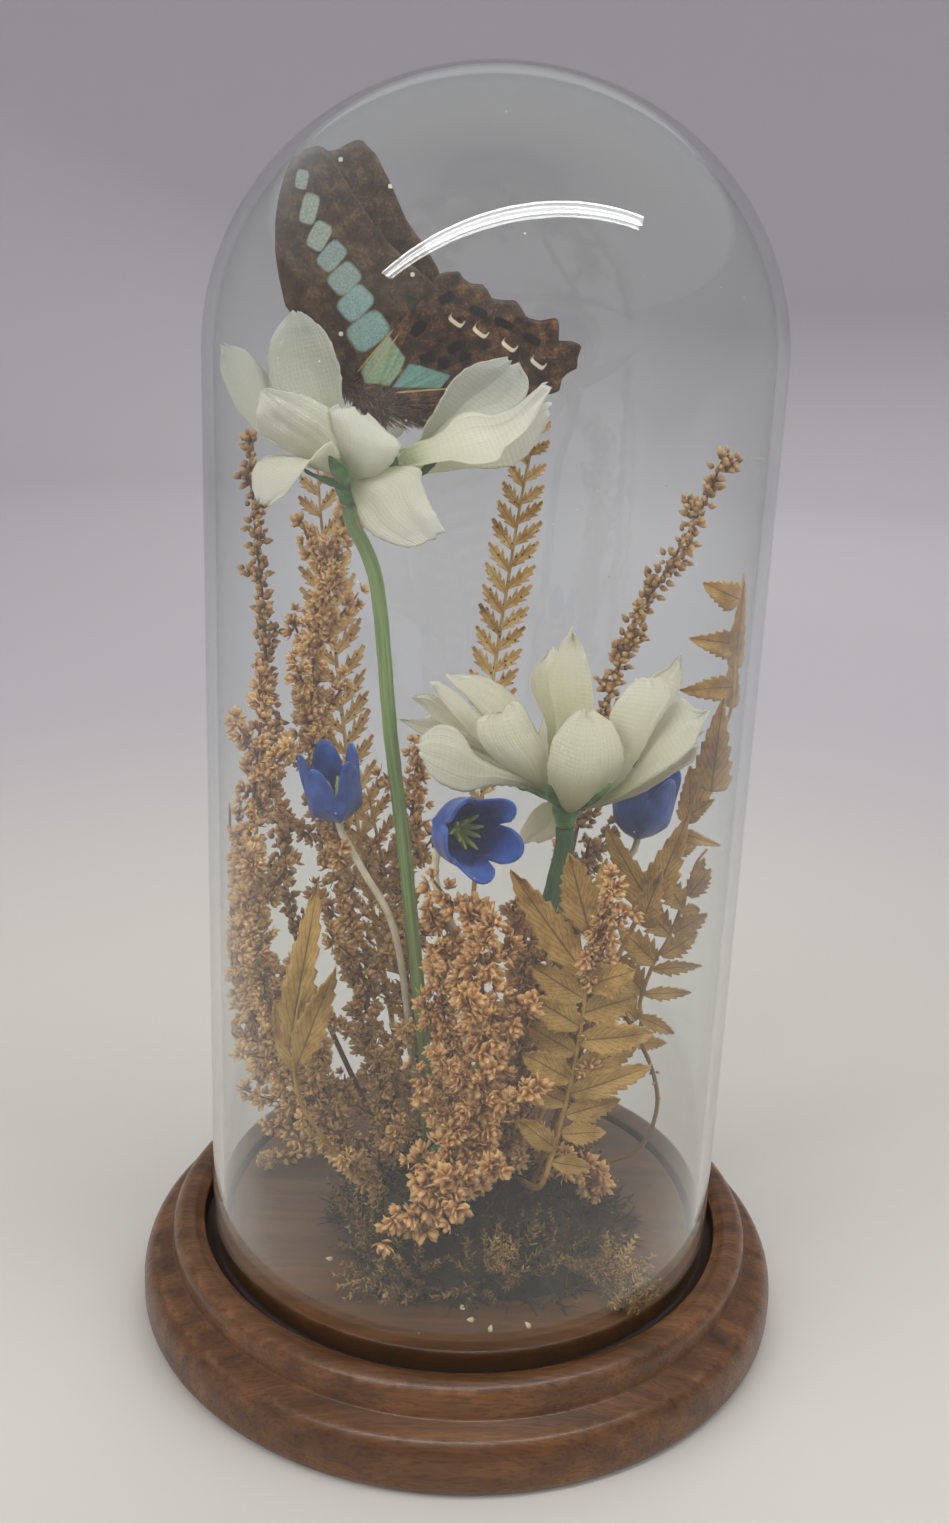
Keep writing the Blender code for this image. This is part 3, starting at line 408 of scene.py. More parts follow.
def limb(route, radii, sides):
    """A closed round limb along a route in mm, with its own radius at each place."""
    rows = len(route) - 1
    bm = sheet_of(sides, rows)
    frames = frames_along(route)
    for vert in bm.verts:
        turn = 2 * math.pi * (vert.co.x + 0.5)
        row = round((vert.co.y + 0.5) * rows)
        place, along, across = frames[row]
        vert.co = place + around(across, along, turn) * radii[row]
    bmesh.ops.remove_doubles(bm, verts=bm.verts, dist=0.0005)
    bmesh.ops.holes_fill(bm, edges=[edge for edge in bm.edges if edge.is_boundary], sides=0)
    bmesh.ops.recalc_face_normals(bm, faces=bm.faces)
    return bm


def small_mesh(bm):
    """A small shape, still in mm, that is stamped many times."""
    mesh = bpy.data.meshes.new("small_shape")
    bm.to_mesh(mesh)
    bm.free()
    return mesh


def stamp(joined, shape, placing):
    """Adds a copy of a small shape to a joined mesh at its placing matrix."""
    copy = shape.copy()
    copy.transform(placing)
    joined.from_mesh(copy)
    bpy.data.meshes.remove(copy)


def facing(place, direction, spin, size):
    """The placing that turns +Z to a direction, after a spin about it, at a place and size."""
    turn = Vector(direction).to_track_quat("Z", "Y") @ Quaternion((0, 0, 1), spin)
    return Matrix.LocRotScale(Vector(place), turn, Vector((size, size, size)))


def moss_strand(seed):
    """A curled strand, 6 mm long, that tapers to its tip."""
    draw = random.Random(seed)
    place, heading, climb = Vector(), draw.uniform(0, 6.3), 1.2
    route = [place.copy()]
    for step in range(6):
        heading += draw.uniform(-0.9, 0.9)
        climb += draw.uniform(-0.65, 0.35)
        level = math.cos(climb)
        place += Vector((level * math.cos(heading), level * math.sin(heading), math.sin(climb)))
        route.append(place.copy())
    return small_mesh(limb(route, [0.24, 0.23, 0.21, 0.18, 0.15, 0.1, 0.04], 3))


def leafy_shoot(seed):
    """A feathery moss shoot, 8 mm long: a curved stalk with narrow pointed leaves all round it."""
    draw = random.Random(seed)
    bend = draw.uniform(0.5, 1.1)
    route = [Vector((bend * (step / 8) ** 2 * 3, 0, step)) for step in range(9)]
    bm = limb(route, [0.25 - 0.02 * step for step in range(9)], 3)
    for index, (place, along, across) in enumerate(frames_along(route)[1:]):
        for leaf in range(4):
            turn = NEXT_LEAF * (4 * index + leaf)
            out = around(across, along, turn)
            reach = draw.uniform(1.2, 2.1) * (1.15 - 0.08 * index)
            lean = (out + along * draw.uniform(0.4, 1.1)).normalized()
            bmesh.ops.create_cone(
                bm,
                cap_ends=True,
                segments=3,
                radius1=0.3,
                radius2=0.03,
                depth=reach,
                matrix=facing(place + lean * reach * 0.5, lean, turn, 1.0),
            )
    return small_mesh(bm)


def mixed(tree, share, first, second):
    """Mixes two amounts; a share of 1 gives the second."""
    return add(tree, "Mix", {0: share, 2: first, 3: second}, data_type="FLOAT").outputs[0]


def dry_moss(name, tones):
    """Dead moss: each strand its own olive brown, straw or near black, quite matt."""
    finish, tree, shader = new_finish(name)
    patches = grain(tree, coordinates(tree), 9, 3)
    strand = add(tree, "NewGeometry", {}).outputs["Random Per Island"]
    shade = mixed(tree, 0.3, patches, strand)
    colour = ramp(tree, shade, (0.28, tones[0]), (0.74, tones[3]), (0.46, tones[1]), (0.6, tones[2]))
    connect(tree, shader, {"Base Color": colour, "Roughness": 0.95})
    return finish


def moss_cushion():
    """The upper half of a ball, squashed to the solid cushion's shape and roughened."""
    bm = bmesh.new()
    bmesh.ops.create_uvsphere(bm, u_segments=96, v_segments=48, radius=1)
    geometry = bm.verts[:] + bm.edges[:] + bm.faces[:]
    cut = bmesh.ops.bisect_plane(
        bm, geom=geometry, dist=0.0001, plane_co=(0, 0, 0), plane_no=(0, 0, 1), clear_inner=True
    )
    rim = [item for item in cut["geom_cut"] if isinstance(item, bmesh.types.BMEdge)]
    bmesh.ops.contextual_create(bm, geom=rim)
    for vert in bm.verts:
        x = MOUND_CENTRE[0] + MOUND_RADII[0] * vert.co.x
        y = MOUND_CENTRE[1] + MOUND_RADII[1] * vert.co.y
        lump = noise.noise(Vector((x, y, 0)) / 4.5) + 0.6 * noise.noise(Vector((x, y, 9)) / 1.8)
        vert.co = (x, y, max(MOUND_FOOT, mound_height(x, y) + 1.3 * lump * vert.co.z))
    return bm


CURLED_STRANDS = [moss_strand(seed) for seed in range(9)]
MOSS_SHOOTS = [leafy_shoot(seed) for seed in range(6)]

# Places where a clump of feathery shoots stands out of the moss: x, y, reach of the clump, shoots.
MOSS_CLUMPS = [
    (-14, -25, 4.5, 26), (-17, -19, 4, 16), (-8, -30, 4, 14), (4, -31, 4, 16), (12, -29, 4, 12),
    (20, -24, 4, 14), (27, -24, 3.5, 20), (30, -30, 2.5, 12), (-20, -8, 4, 14), (-16, 4, 4, 12),
    (20, 6, 5, 16), (2, 12, 5, 14), (28, -8, 3, 10),
]


def kept_inside(point, gap=2.0):
    """The point itself, or where it lies when the dome's wall presses it in."""
    shrink = min(1.0, (INSIDE_RADIUS - gap) / max(1.0, math.hypot(point.x, point.y)))
    return Vector((point.x * shrink, point.y * shrink, point.z))


# A wisp of moss that has slipped off the cushion and lies across the platform to its edge.
MOSS_TRAIL = [(16.7, -14, 29), (20, -19, 23.5), (25, -24, 20.5), (28.5, -29, 19.8), (31, -33, 19.6)]


def moss_growth():
    """Dark curled strands and a few shoots, all over the cushion and in a loose fringe on the wood."""
    bm = bmesh.new()
    for count in range(STRANDS):
        reach = math.sqrt(chance.random()) * 1.05
        turn = chance.uniform(0, 2 * math.pi)
        ragged = 1 + 0.16 * noise.noise(Vector((2.2 * math.cos(turn), 2.2 * math.sin(turn), 0.5)))
        x = MOUND_CENTRE[0] + MOUND_RADII[0] * reach * ragged * math.cos(turn)
        y = MOUND_CENTRE[1] + MOUND_RADII[1] * reach * ragged * math.sin(turn)
        place = Vector((x, y, max(mound_height(x, y) - 0.6, BASE_HEIGHT + 0.3)))
        out = Vector((math.cos(turn) * reach, math.sin(turn) * reach, 1.15 - 0.75 * reach))
        tip = (out + Vector([chance.uniform(-0.5, 0.5) for axis in range(3)])).normalized()
        tip.z = max(tip.z, 0.12)
        leafy = chance.random() < LEAFY_SHARE
        shape = chance.choice(MOSS_SHOOTS if leafy else CURLED_STRANDS)
        size = chance.uniform(0.35, 0.6) if leafy else chance.uniform(0.5, 1.0)
        stamp(bm, shape, facing(place, tip, chance.uniform(0, 6.3), size))
    return bm


def scattered(reach, rise):
    """A random offset: up to reach mm to each side, and up to rise mm upwards."""
    return Vector((chance.uniform(-reach, reach), chance.uniform(-reach, reach), chance.uniform(0, rise)))


def moss_tufts():
    """Clumps of paler feathery shoots on the cushion's shoulders, and the slipped wisp."""
    bm = bmesh.new()
    for clump_x, clump_y, spread, count in MOSS_CLUMPS:
        for shoot in range(count):
            turn = chance.uniform(0, 2 * math.pi)
            reach = spread * math.sqrt(chance.random())
            x, y = clump_x + 0.6 * reach * math.cos(turn), clump_y + 0.6 * reach * math.sin(turn)
            out = Vector((x - MOUND_CENTRE[0], y - MOUND_CENTRE[1], 0)).normalized() * 0.6
            lean = out + Vector((math.cos(turn), math.sin(turn), 0)) * chance.uniform(0.2, 1.2)
            lean.z = chance.uniform(0.15, 1.4)
            place = Vector((x, y, max(mound_height(x, y) - 0.8, BASE_HEIGHT + 0.4)))
            stamp(bm, chance.choice(MOSS_SHOOTS), facing(place, lean, turn, chance.uniform(0.6, 1.1)))
    trail = smooth_route(MOSS_TRAIL, 0.8)
    for place, along, across in frames_along(trail):
        for shoot in range(3):
            spot = place + scattered(1.2, 0.8)
            lean = along + scattered(0.9, 0.5)
            shape = chance.choice(MOSS_SHOOTS + CURLED_STRANDS)
            stamp(bm, shape, facing(spot, lean, chance.uniform(0, 6.3), chance.uniform(0.3, 0.5)))
    for vert in bm.verts:
        vert.co = kept_inside(vert.co, 0.6)
    return bm


def smooth_route(points, spacing):
    """Points of a Catmull-Rom curve through the given ones, about one spacing apart."""
    given = [Vector(p) for p in points]
    padded = [2 * given[0] - given[1], *given, 2 * given[-1] - given[-2]]
    route = []
    for before, start, end, after in zip(padded, padded[1:], padded[2:], padded[3:]):
        count = max(1, round((end - start).length / spacing))
        for step in range(count):
            t = step / count
            bend = (2 * before - 5 * start + 4 * end - after) * t**2
            swing = (3 * start - before - 3 * end + after) * t**3
            route.append(0.5 * (2 * start + (end - before) * t + bend + swing))
    return [*route, given[-1]]


DARK_MOSS = dry_moss("dried_moss", ("0A0704", "20170D", "44321C", "765A34"))
PALE_MOSS = dry_moss("dried_pale_moss", ("32240F", "664C27", "9C7A42", "D0AA68"))
add_piece("moss_cushion", moss_cushion(), "dry_moss", ["moss_mound"], DARK_MOSS)
add_piece("moss_strands", moss_growth(), "dry_moss", [], DARK_MOSS)
add_piece("moss_tufts", moss_tufts(), "dry_moss", [], PALE_MOSS)


# The silk flowers.
# Two artificial flowers. Each whorl of petals is one die-cut sheet of white silk, dyed green at its
# middle and pressed to shape, threaded on a wire stem over a moulded calyx with narrow sepals.

HUB_RADIUS = 2.0
SILK_THICKNESS = 0.12


def planted(points, foot):
    """Carries a plant's points down into the moss, 4 mm deep at its foot."""
    surface = Vector((*foot, mound_height(*foot)))
    down = (surface - Vector(points[-1])).normalized()
    return [*[Vector(p) for p in points], surface, surface + down * 4.0]


def join(joined, bm):
    """Moves a shape into a joined one."""
    shape = small_mesh(bm)
    joined.from_mesh(shape)
    bpy.data.meshes.remove(shape)


def part_way(route, share):
    """The place at a share of the way along a route."""
    reach = share * (len(route) - 1)
    index = min(int(reach), len(route) - 2)
    return route[index].lerp(route[index + 1], reach - index)


def laid_petal(edges, bow, ridge, seed, rows=34, columns=18, crumple=1.0):
    """A petal laid between its two edges, from the hub to its end.

    It bows by bow mm toward its outer face along a ridge, which lies at -1 to 1 across it. The cloth is
    pressed into fine lengthwise pleats, waves a little, and is frayed where it was cut.
    """
    bm = sheet_of(columns, rows)
    left, right = [smooth_route(edge, 0.5) for edge in edges]
    spine = part_way(left, 0.8) + part_way(right, 0.8) - left[0] - right[0]
    face = (part_way(right, 0.6) - part_way(left, 0.6)).cross(spine).normalized()
    if face.dot(Vector((0, -1, -0.35))) < 0:
        face = -face
    draw = random.Random(seed)
    spine.normalize()
    for vert in bm.verts:
        v, u = 2 * vert.co.x, vert.co.y + 0.5
        near, far = part_way(left, u), part_way(right, u)
        away = (v - ridge) / (1 - ridge) if v > ridge else (ridge - v) / (1 + ridge)
        crest = (1 - away**1.4) * math.sin(math.pi * min(1.0, 0.08 + 1.05 * u)) ** 0.7
        pleats = 0.34 * noise.noise(Vector((v * 5.0, u * 0.9, seed))) * min(1.0, 2 * u)
        wave = 0.9 * noise.noise(Vector((v * 1.3, u * 2.6, seed + 5.5))) * u
        place = near.lerp(far, (v + 1) / 2) + face * (bow * crest + crumple * (pleats + wave))
        blunt = max(0.0, u - 0.82) / 0.18
        place += spine * crumple * 1.3 * blunt * noise.noise(Vector((v * 2.4, 0.3, seed + 9.5)))
        if vert.is_boundary and u > 0.2:
            outward = (far - near).normalized() * math.copysign(1, v) if abs(v) > 0.99 else spine
            place += outward * draw.uniform(-0.2, 0.1) * crumple
        vert.co = place
    return bm


def whorl(petals, centre, seed):
    """A sheet of petals round its small hub; each petal starts on the hub."""
    sheet = bmesh.new()
    sheet.loops.layers.uv.new("across_and_along")
    bmesh.ops.create_circle(sheet, cap_ends=True, segments=24, radius=HUB_RADIUS)
    bmesh.ops.translate(sheet, verts=sheet.verts, vec=centre)
    for index, (left, right, bow, ridge) in enumerate(petals):
        start = centre.lerp(Vector(left[0]), 0.25), centre.lerp(Vector(right[0]), 0.25)
        edges = [start[0], *left], [start[1], *right]
        join(sheet, laid_petal(edges, bow, ridge, seed + 3 * index))
    bmesh.ops.recalc_face_normals(sheet, faces=sheet.faces)
    return sheet


def turned_back(petals, centre, squat=0.7):
    """The hidden petals at the back of a flower, which repeat the front ones a little lower."""
    def back(edge):
        return [(x, 2 * centre.y - y, centre.z + squat * (z - centre.z)) for x, y, z in edge]

    return [(back(left), back(right), bow, ridge) for left, right, bow, ridge in petals]


def thicken(made, thickness):
    """Gives a thin sheet its real thickness, half to each side."""
    wall = made.modifiers.new("thickness", "SOLIDIFY")
    wall.thickness = thickness * MM
    wall.offset = 0.0


def glowing(tree, shader, share, colour, normal=None):
    """Lets a share of the light through a thin sheet, in the sheet's colour."""
    glow = add(tree, "BsdfTranslucent", {"Color": colour})
    if normal:
        tree.links.new(normal, glow.inputs["Normal"])
    both = add(tree, "MixShader", {0: share, 1: shader.outputs[0], 2: glow.outputs[0]})
    tree.links.new(both.outputs[0], tree.nodes["Material Output"].inputs["Surface"])


def dyed_silk(name, heart, middle, tip, dyed):
    """Woven silk: white with a dyed heart, thin enough to glow, with fine threads and pressed veins; greyed
    colours given to it paint shade.
    """
    finish, tree, shader = new_finish(name)
    sheet = coordinates(tree, "UV")
    along = axis_of(tree, sheet, "Y")
    stain = grain(tree, coordinates(tree), 5, 4)
    reach = maths(tree, "ADD", along, ranged(tree, stain, 0.2, 0.8, -0.14, 0.14))
    colour = ramp(tree, reach, (0.0, heart), (1.0, tip), (dyed, middle))
    # A petal is about 14 mm across and 30 mm long, and its threads are drawn 0.8 mm apart to show.
    # A wave texture has one wave to a unit at a scale of 0.32.
    threads = {"Vector": stretched(tree, sheet, (14 / 0.8, 30 / 0.8, 1)), "Scale": 0.32, "Distortion": 0.6}
    warp, weft = [add(tree, "TexWave", threads, bands_direction=axis).outputs["Fac"] for axis in "XY"]
    weave = maths(tree, "MULTIPLY", warp, weft)
    pressed = grain(tree, stretched(tree, sheet, (13, 1.6, 1)), 1.0, 3)
    normal = bumps(tree, maths(tree, "MULTIPLY_ADD", weave, 0.35, pressed), 0.5, 0.35)
    cloth = blended(tree, ranged(tree, weave, 0.0, 1.0, 0.9), linear("A9A890"), colour)
    sockets = {
        "Base Color": cloth,
        "Roughness": 0.62,
        "Normal": normal,
        "Sheen Weight": 0.25,
        "Sheen Roughness": 0.4,
    }
    connect(tree, shader, sockets)
    glowing(tree, shader, 0.62, cloth, normal)
    return finish


def mottled(name, patch, roughness, *stops):
    """A plain finish whose colour wanders in soft patches, each about patch mm wide."""
    finish, tree, shader = new_finish(name)
    colour = ramp(tree, grain(tree, coordinates(tree), patch, 3), *stops)
    connect(tree, shader, {"Base Color": colour, "Roughness": roughness})
    return finish


def floral_tape(name, dark, pale):
    """Waxed crepe paper tape wound slantwise round the wire: overlapping turns and a fine crinkle."""
    finish, tree, shader = new_finish(name)
    streaks = grain(tree, stretched(tree, coordinates(tree, "UV"), (14, 7, 1)), 1.0, 4)
    crinkle = bumps(tree, grain(tree, coordinates(tree), 0.7, 4), 0.35, 0.15)
    colour = ramp(tree, streaks, (0.32, dark), (0.7, pale))
    connect(tree, shader, {"Base Color": colour, "Roughness": 0.6, "Normal": crinkle})
    return finish


def taped_stem(points, foot, radius):
    """A wire stem with tape wound round it: each turn of the tape ends in a low slanting step."""
    route = smooth_route(planted(points, foot), 1.0)
    pitch = 8.0
    sides = 16
    bm = limb(route, [radius] * len(route), sides)
    uv = bm.loops.layers.uv.active
    for face in bm.faces:
        for loop in face.loops:
            along = loop[uv].uv.y * len(route)
            turn = (along / pitch + loop[uv].uv.x) % 1.0
            nearest = route[min(len(route) - 1, round(loop[uv].uv.y * (len(route) - 1)))]
            outward = loop.vert.co - nearest
            loop.vert.co = nearest + outward.normalized() * radius * (0.96 + 0.07 * turn)
    return bm


def calyx(hub, sepals, seed):
    """A moulded cup, drawn by its radius at each depth, with narrow sepals that hug the petals."""
    middle = Vector(hub)
    cup = {5.6: 1.3, 5.2: 1.7, 4.4: 1.9, 3.4: 2.3, 2.4: 2.6, 1.8: 2.5}
    bm = limb([middle - Vector((0, 0, depth)) for depth in cup], list(cup.values()), 20)
    for index, (left, right, bow, ridge) in enumerate(sepals):
        start = middle - Vector((0, 0, 2.6))
        edges = [start.lerp(Vector(left[0]), 0.3), *left], [start.lerp(Vector(right[0]), 0.3), *right]
        leaf = laid_petal(edges, bow, ridge, seed + index, rows=12, columns=6, crumple=0.3)
        bmesh.ops.recalc_face_normals(leaf, faces=leaf.faces)
        bmesh.ops.solidify(leaf, geom=leaf.faces[:], thickness=0.35)
        join(bm, leaf)
    return bm


def stamen_cushion(foot, height, radius):
    """A cushion of short moulded stamens in the heart of a flower."""
    middle = Vector(foot)
    route = [middle, middle + Vector((0, 0, height * 0.5)), middle + Vector((0, 0, height))]
    bm = limb(route, [radius * 0.8, radius, radius * 0.7], 16)
    knob = bmesh.new()
    bmesh.ops.create_icosphere(knob, subdivisions=1, radius=0.28)
    bead = small_mesh(knob)
    knobs = 60
    for count in range(knobs):
        turn = count * NEXT_LEAF
        reach = radius * math.sqrt((count + 0.5) / knobs)
        place = middle + Vector((reach * math.cos(turn), reach * math.sin(turn), height * 1.02))
        stamp(bm, bead, Matrix.Translation(place))
    return bm


# Each petal: its two edges from the hub to its end in mm, how far it bows, and where its ridge lies.
TALL_HUB = Vector((-24.0, -9.0, 168.6))
TALL_LOW = [
    # front left, seen from below
    ([(-24.4, -11, 168.5), (-28.3, -14, 169.6), (-32.1, -17, 172), (-35.2, -19, 174.6), (-37.4, -20, 176.2),
      (-38.1, -21, 179.2), (-37.8, -20, 182.6)],
     [(-23.3, -11, 169.3), (-23.5, -14, 175), (-25.2, -16, 179), (-27.5, -18, 181), (-30.1, -19, 182.5),
      (-32.9, -20, 183.2), (-36.5, -20, 183.6)], 2, 0.3),
    # front, its top edge bent back
    ([(-24, -11, 168.5), (-25, -14, 171.3), (-25.7, -17, 175.4), (-26.2, -18, 178.5), (-26.6, -18, 180.6),
      (-25.2, -17, 181.2)],
     [(-22.5, -11, 168.6), (-20, -14, 168.8), (-17.3, -16, 170.6), (-15, -16, 174.4), (-17.5, -15, 176.9),
      (-20.6, -14.5, 179.3)], 1.4, 0.35),
    # low left, hanging
    ([(-25.1, -10, 168.3), (-29.4, -14, 170), (-33.3, -16, 172.2), (-36.7, -17, 172), (-38.7, -18, 170.1),
      (-39.1, -19, 167.1), (-38.2, -20, 164.8)],
     [(-24.4, -11, 169.1), (-25.1, -17, 173.3), (-26.2, -21, 175.5), (-28.9, -23, 173.2),
      (-30.7, -23, 170.4), (-33.2, -22, 166.8), (-36.4, -21, 164.4)], 2, 0.2),
    # front right, hanging
    ([(-24, -11, 167.6), (-22.8, -13, 164.4), (-21.5, -15, 161.4), (-19.6, -16, 159.5), (-16.5, -17, 158.3),
      (-13.2, -17, 157.6)],
     [(-21, -11, 168.9), (-16.3, -14, 170.7), (-12.1, -15, 170.8), (-11.1, -16, 167.7), (-9.1, -17, 164),
      (-7.1, -17, 160.7)], 1.8, 0),
    # right, lying level
    ([(-16.6, -10, 171.1), (-13.9, -11, 173.9), (-9.1, -11, 175.9), (-6.2, -10, 178.8), (-3.6, -9.5, 179.6),
      (-0.2, -10, 179.1), (3.5, -10, 180.5), (8.4, -10, 184.6)],
     [(-15.9, -11, 170.1), (-11.8, -15, 171.2), (-8.4, -17, 172.3), (-5.9, -18, 172.7), (-2.9, -18, 172.2),
      (1.1, -17, 172.8), (2.2, -15, 174.5), (6, -13, 177.7), (9.3, -11, 183.7)], -1.6, 0.2),
    # right, under the level one
    ([(-15.9, -9, 170.6), (-9.1, -7, 172.6), (-1.6, -6, 176.2), (5.8, -6, 179.5), (9.4, -6, 181.5)],
     [(-15.4, -10, 169.7), (-10.5, -9, 168.8), (-4.8, -9, 169.8), (2.4, -8, 170.1), (6.5, -7, 172.7),
      (9.3, -6, 178.1)], 1.2, 0),
]
TALL_HIGH = [
    # upright at the back left
    ([(-25.2, -8, 170.2), (-31.1, -8.5, 175.4), (-36.8, -9, 181.2), (-37.9, -9, 184.8), (-37.7, -9, 188.9),
      (-36.6, -8.5, 192.1), (-34.6, -8, 194)],
     [(-24.3, -8, 170.3), (-24.9, -8.5, 175.6), (-25.4, -9, 181.3), (-25.6, -9, 184.6), (-26.9, -9, 188.9),
      (-28.8, -8.5, 192.1), (-32.2, -8, 195)], -2, 0.1),
    # far left, seen along its edge
    ([(-25.6, -10, 168.7), (-32.3, -12, 171.4), (-37.6, -14, 174.3), (-41.6, -15, 178.9),
      (-43.7, -15, 183.2), (-44.8, -14.5, 185.9), (-44.6, -14, 189.2)],
     [(-25.2, -8, 169.1), (-30.9, -7, 175.2), (-35.9, -7, 181.7), (-37.7, -7.5, 183.6), (-40, -8, 186.5),
      (-42, -9, 188.4), (-43.9, -11, 189.1)], -1.5, -0.3),
    # upright at the back right
    ([(-13.3, -9, 173.7), (-11.5, -9, 176.6), (-9, -9, 181.2), (-7.1, -9, 184.6), (-3.9, -9, 187.2),
      (-0.2, -9, 188.2), (1.6, -9, 188.5)],
     [(-10.6, -9, 173.8), (-5, -9.5, 176.2), (-0.2, -10, 178.9), (3.6, -10, 180.5), (5.7, -10, 183),
      (5.6, -9.5, 185.3), (4.3, -9, 187.2)], -1.5, 0),
    # behind the insect, spread to the back
    ([(-25.5, -6, 169.5), (-29, 0, 171.5), (-31, 8, 175), (-27, 15, 178.5)],
     [(-22.5, -6, 169.5), (-18, 0, 171.5), (-15, 8, 175), (-18, 15, 178.5)], -1.5, 0),
]
TALL_SEPALS = [
    ([(-24.4, -12.5, 166.5), (-26, -16, 168.6), (-26.6, -18, 170.8), (-26.6, -19, 172.6)],
     [(-23.5, -13, 166.8), (-23.1, -18.5, 170), (-24.4, -19.5, 171.8), (-26.4, -19.1, 172.6)], 0.6, 0),
    ([(-24.4, -11, 165.6), (-27.2, -13, 166.9), (-29.4, -14, 168.2), (-30.9, -15, 169.5)],
     [(-25, -11, 167.2), (-26.9, -13, 168.3), (-29, -14, 168.9), (-30.8, -15, 169.6)], 0.3, 0),
    ([(-17.4, -12, 169.8), (-17, -13, 171.2), (-16.2, -14, 173.1)],
     [(-15.9, -12, 170.1), (-15.6, -13, 171.7), (-16.1, -14, 173.1)], 0.2, 0),
    ([(-12.7, -10, 169), (-11.4, -11, 170.6), (-9.5, -12, 171.4)],
     [(-12.1, -10, 168.4), (-10.5, -11, 169.5), (-9.5, -12, 171.3)], 0.2, 0),
]
TALL_STEM = [
    (-24, -9, 162.5), (-23.3, -9, 159.5), (-19, -9, 149), (-16, -8, 121), (-13, -7, 98), (-10, -5, 71),
    (-8, -4, 51),
]
SHORT_HUB = Vector((16.2, -10.0, 111.2))
SHORT_OUTER = [
    ([(15.1, -11, 110.3), (8.7, -15, 114.3), (3, -19, 116.4), (-2.5, -22, 116.1), (-7.8, -23, 118.8),
      (-10.3, -23, 122.2)],
     [(13.9, -11, 111.8), (6.7, -15, 117.1), (-0.2, -18, 121.4), (-3.6, -20, 126.6), (-7.5, -21, 128.1),
      (-10.7, -22, 126)], 1.8, 0.2),
    ([(13.2, -9, 112.3), (5.3, -9, 116.4), (-1.7, -10, 119.7), (-10.8, -10, 122.5), (-14.3, -10, 124.7)],
     [(13.1, -8, 114.4), (6.7, -7, 119), (-1, -8, 122.7), (-8.1, -9, 124.5), (-14.2, -10, 124.9)], -0.8, 0),
    ([(18.5, -11, 110.3), (26.5, -12, 116), (29.7, -12, 123.3), (32.8, -11, 128.6), (35.5, -11, 131.2),
      (37.7, -12, 129.4), (39.7, -12, 129.2)],
     [(19.7, -11, 109.9), (25.6, -16, 114.2), (30.3, -18, 118.4), (34, -18, 121.3), (37.1, -17, 124.2),
      (38.5, -15, 126.9), (39.8, -13, 129.2)], 1.6, -0.1),
    ([(19.8, -9, 109.6), (26.9, -9, 112.9), (33.5, -9, 117.6), (37, -9, 120.6), (38.7, -9, 122)],
     [(20.2, -10, 109.4), (28.2, -12, 113), (34.4, -13, 117.9), (37.9, -12, 120.1), (38.7, -10, 122.1)],
     0.6, 0),
    ([(14.4, -8, 109.7), (11.6, -6, 108.2), (9.4, -5, 104.7), (7.8, -4, 100.2)],
     [(15.8, -8, 108.6), (16.2, -6, 105.4), (16.1, -5, 102.6), (11.8, -4, 99.8)], 0.6, 0),
]
SHORT_MIDDLE = [
    ([(13.5, -10, 112.7), (6.8, -10, 116.9), (-0.9, -11, 120.9), (-7.7, -11, 125.4), (-10, -11, 127.8),
      (-12.3, -11, 129.5)],
     [(13.4, -9, 114.7), (8.2, -8, 120.2), (1.5, -8, 124.8), (-5, -9, 127.6), (-9.2, -10, 130.1),
      (-12, -11, 129.8)], -0.8, 0),
    ([(13.9, -11, 112.3), (6.7, -13, 117.9), (-0.6, -16, 123.7), (-4.5, -17, 128.3), (-7.2, -17, 131.2),
      (-8.7, -17, 133.7)],
     [(13.6, -10, 114.3), (8.1, -10, 120.9), (0.3, -12, 126.6), (-3.7, -13, 130.9), (-6.9, -14, 133),
      (-8.5, -16, 133.6)], 2.2, 0.2),
    ([(14.7, -11, 110.7), (8.7, -15, 115.6), (3.6, -18, 120), (0.2, -20, 124.1), (-0.7, -20, 127.5),
      (0, -19, 128.9), (2.5, -18, 129.1)],
     [(14.6, -11, 111.9), (12.3, -15, 118.5), (11.8, -16, 122.2), (10, -16, 125.4), (8.2, -16, 128.5),
      (6.7, -16, 130.9), (5.7, -16, 130.3)], 1.8, 0.3),
    ([(14.7, -11, 110.6), (12.6, -17, 115.9), (11.8, -20, 120.7), (12.4, -20, 125), (14.5, -19, 128.4),
      (17, -18, 130.5)],
     [(18.6, -11, 109.9), (22.4, -17, 115.7), (24.9, -20, 121.2), (24.2, -20, 125.7), (22.4, -19, 128.7),
      (19.4, -18, 130.6)], 3, 0),
    ([(18.2, -11, 110.5), (21, -13, 117.3), (23, -14, 123.3), (22.4, -14, 127.6), (24.1, -14, 132),
      (26.8, -13, 135.4)],
     [(19.3, -11, 110.2), (25, -16, 116.6), (28.2, -17, 122.8), (30.4, -17, 128.6), (32.7, -16, 133.5),
      (31, -14, 135.8)], 1.6, 0.1),
]
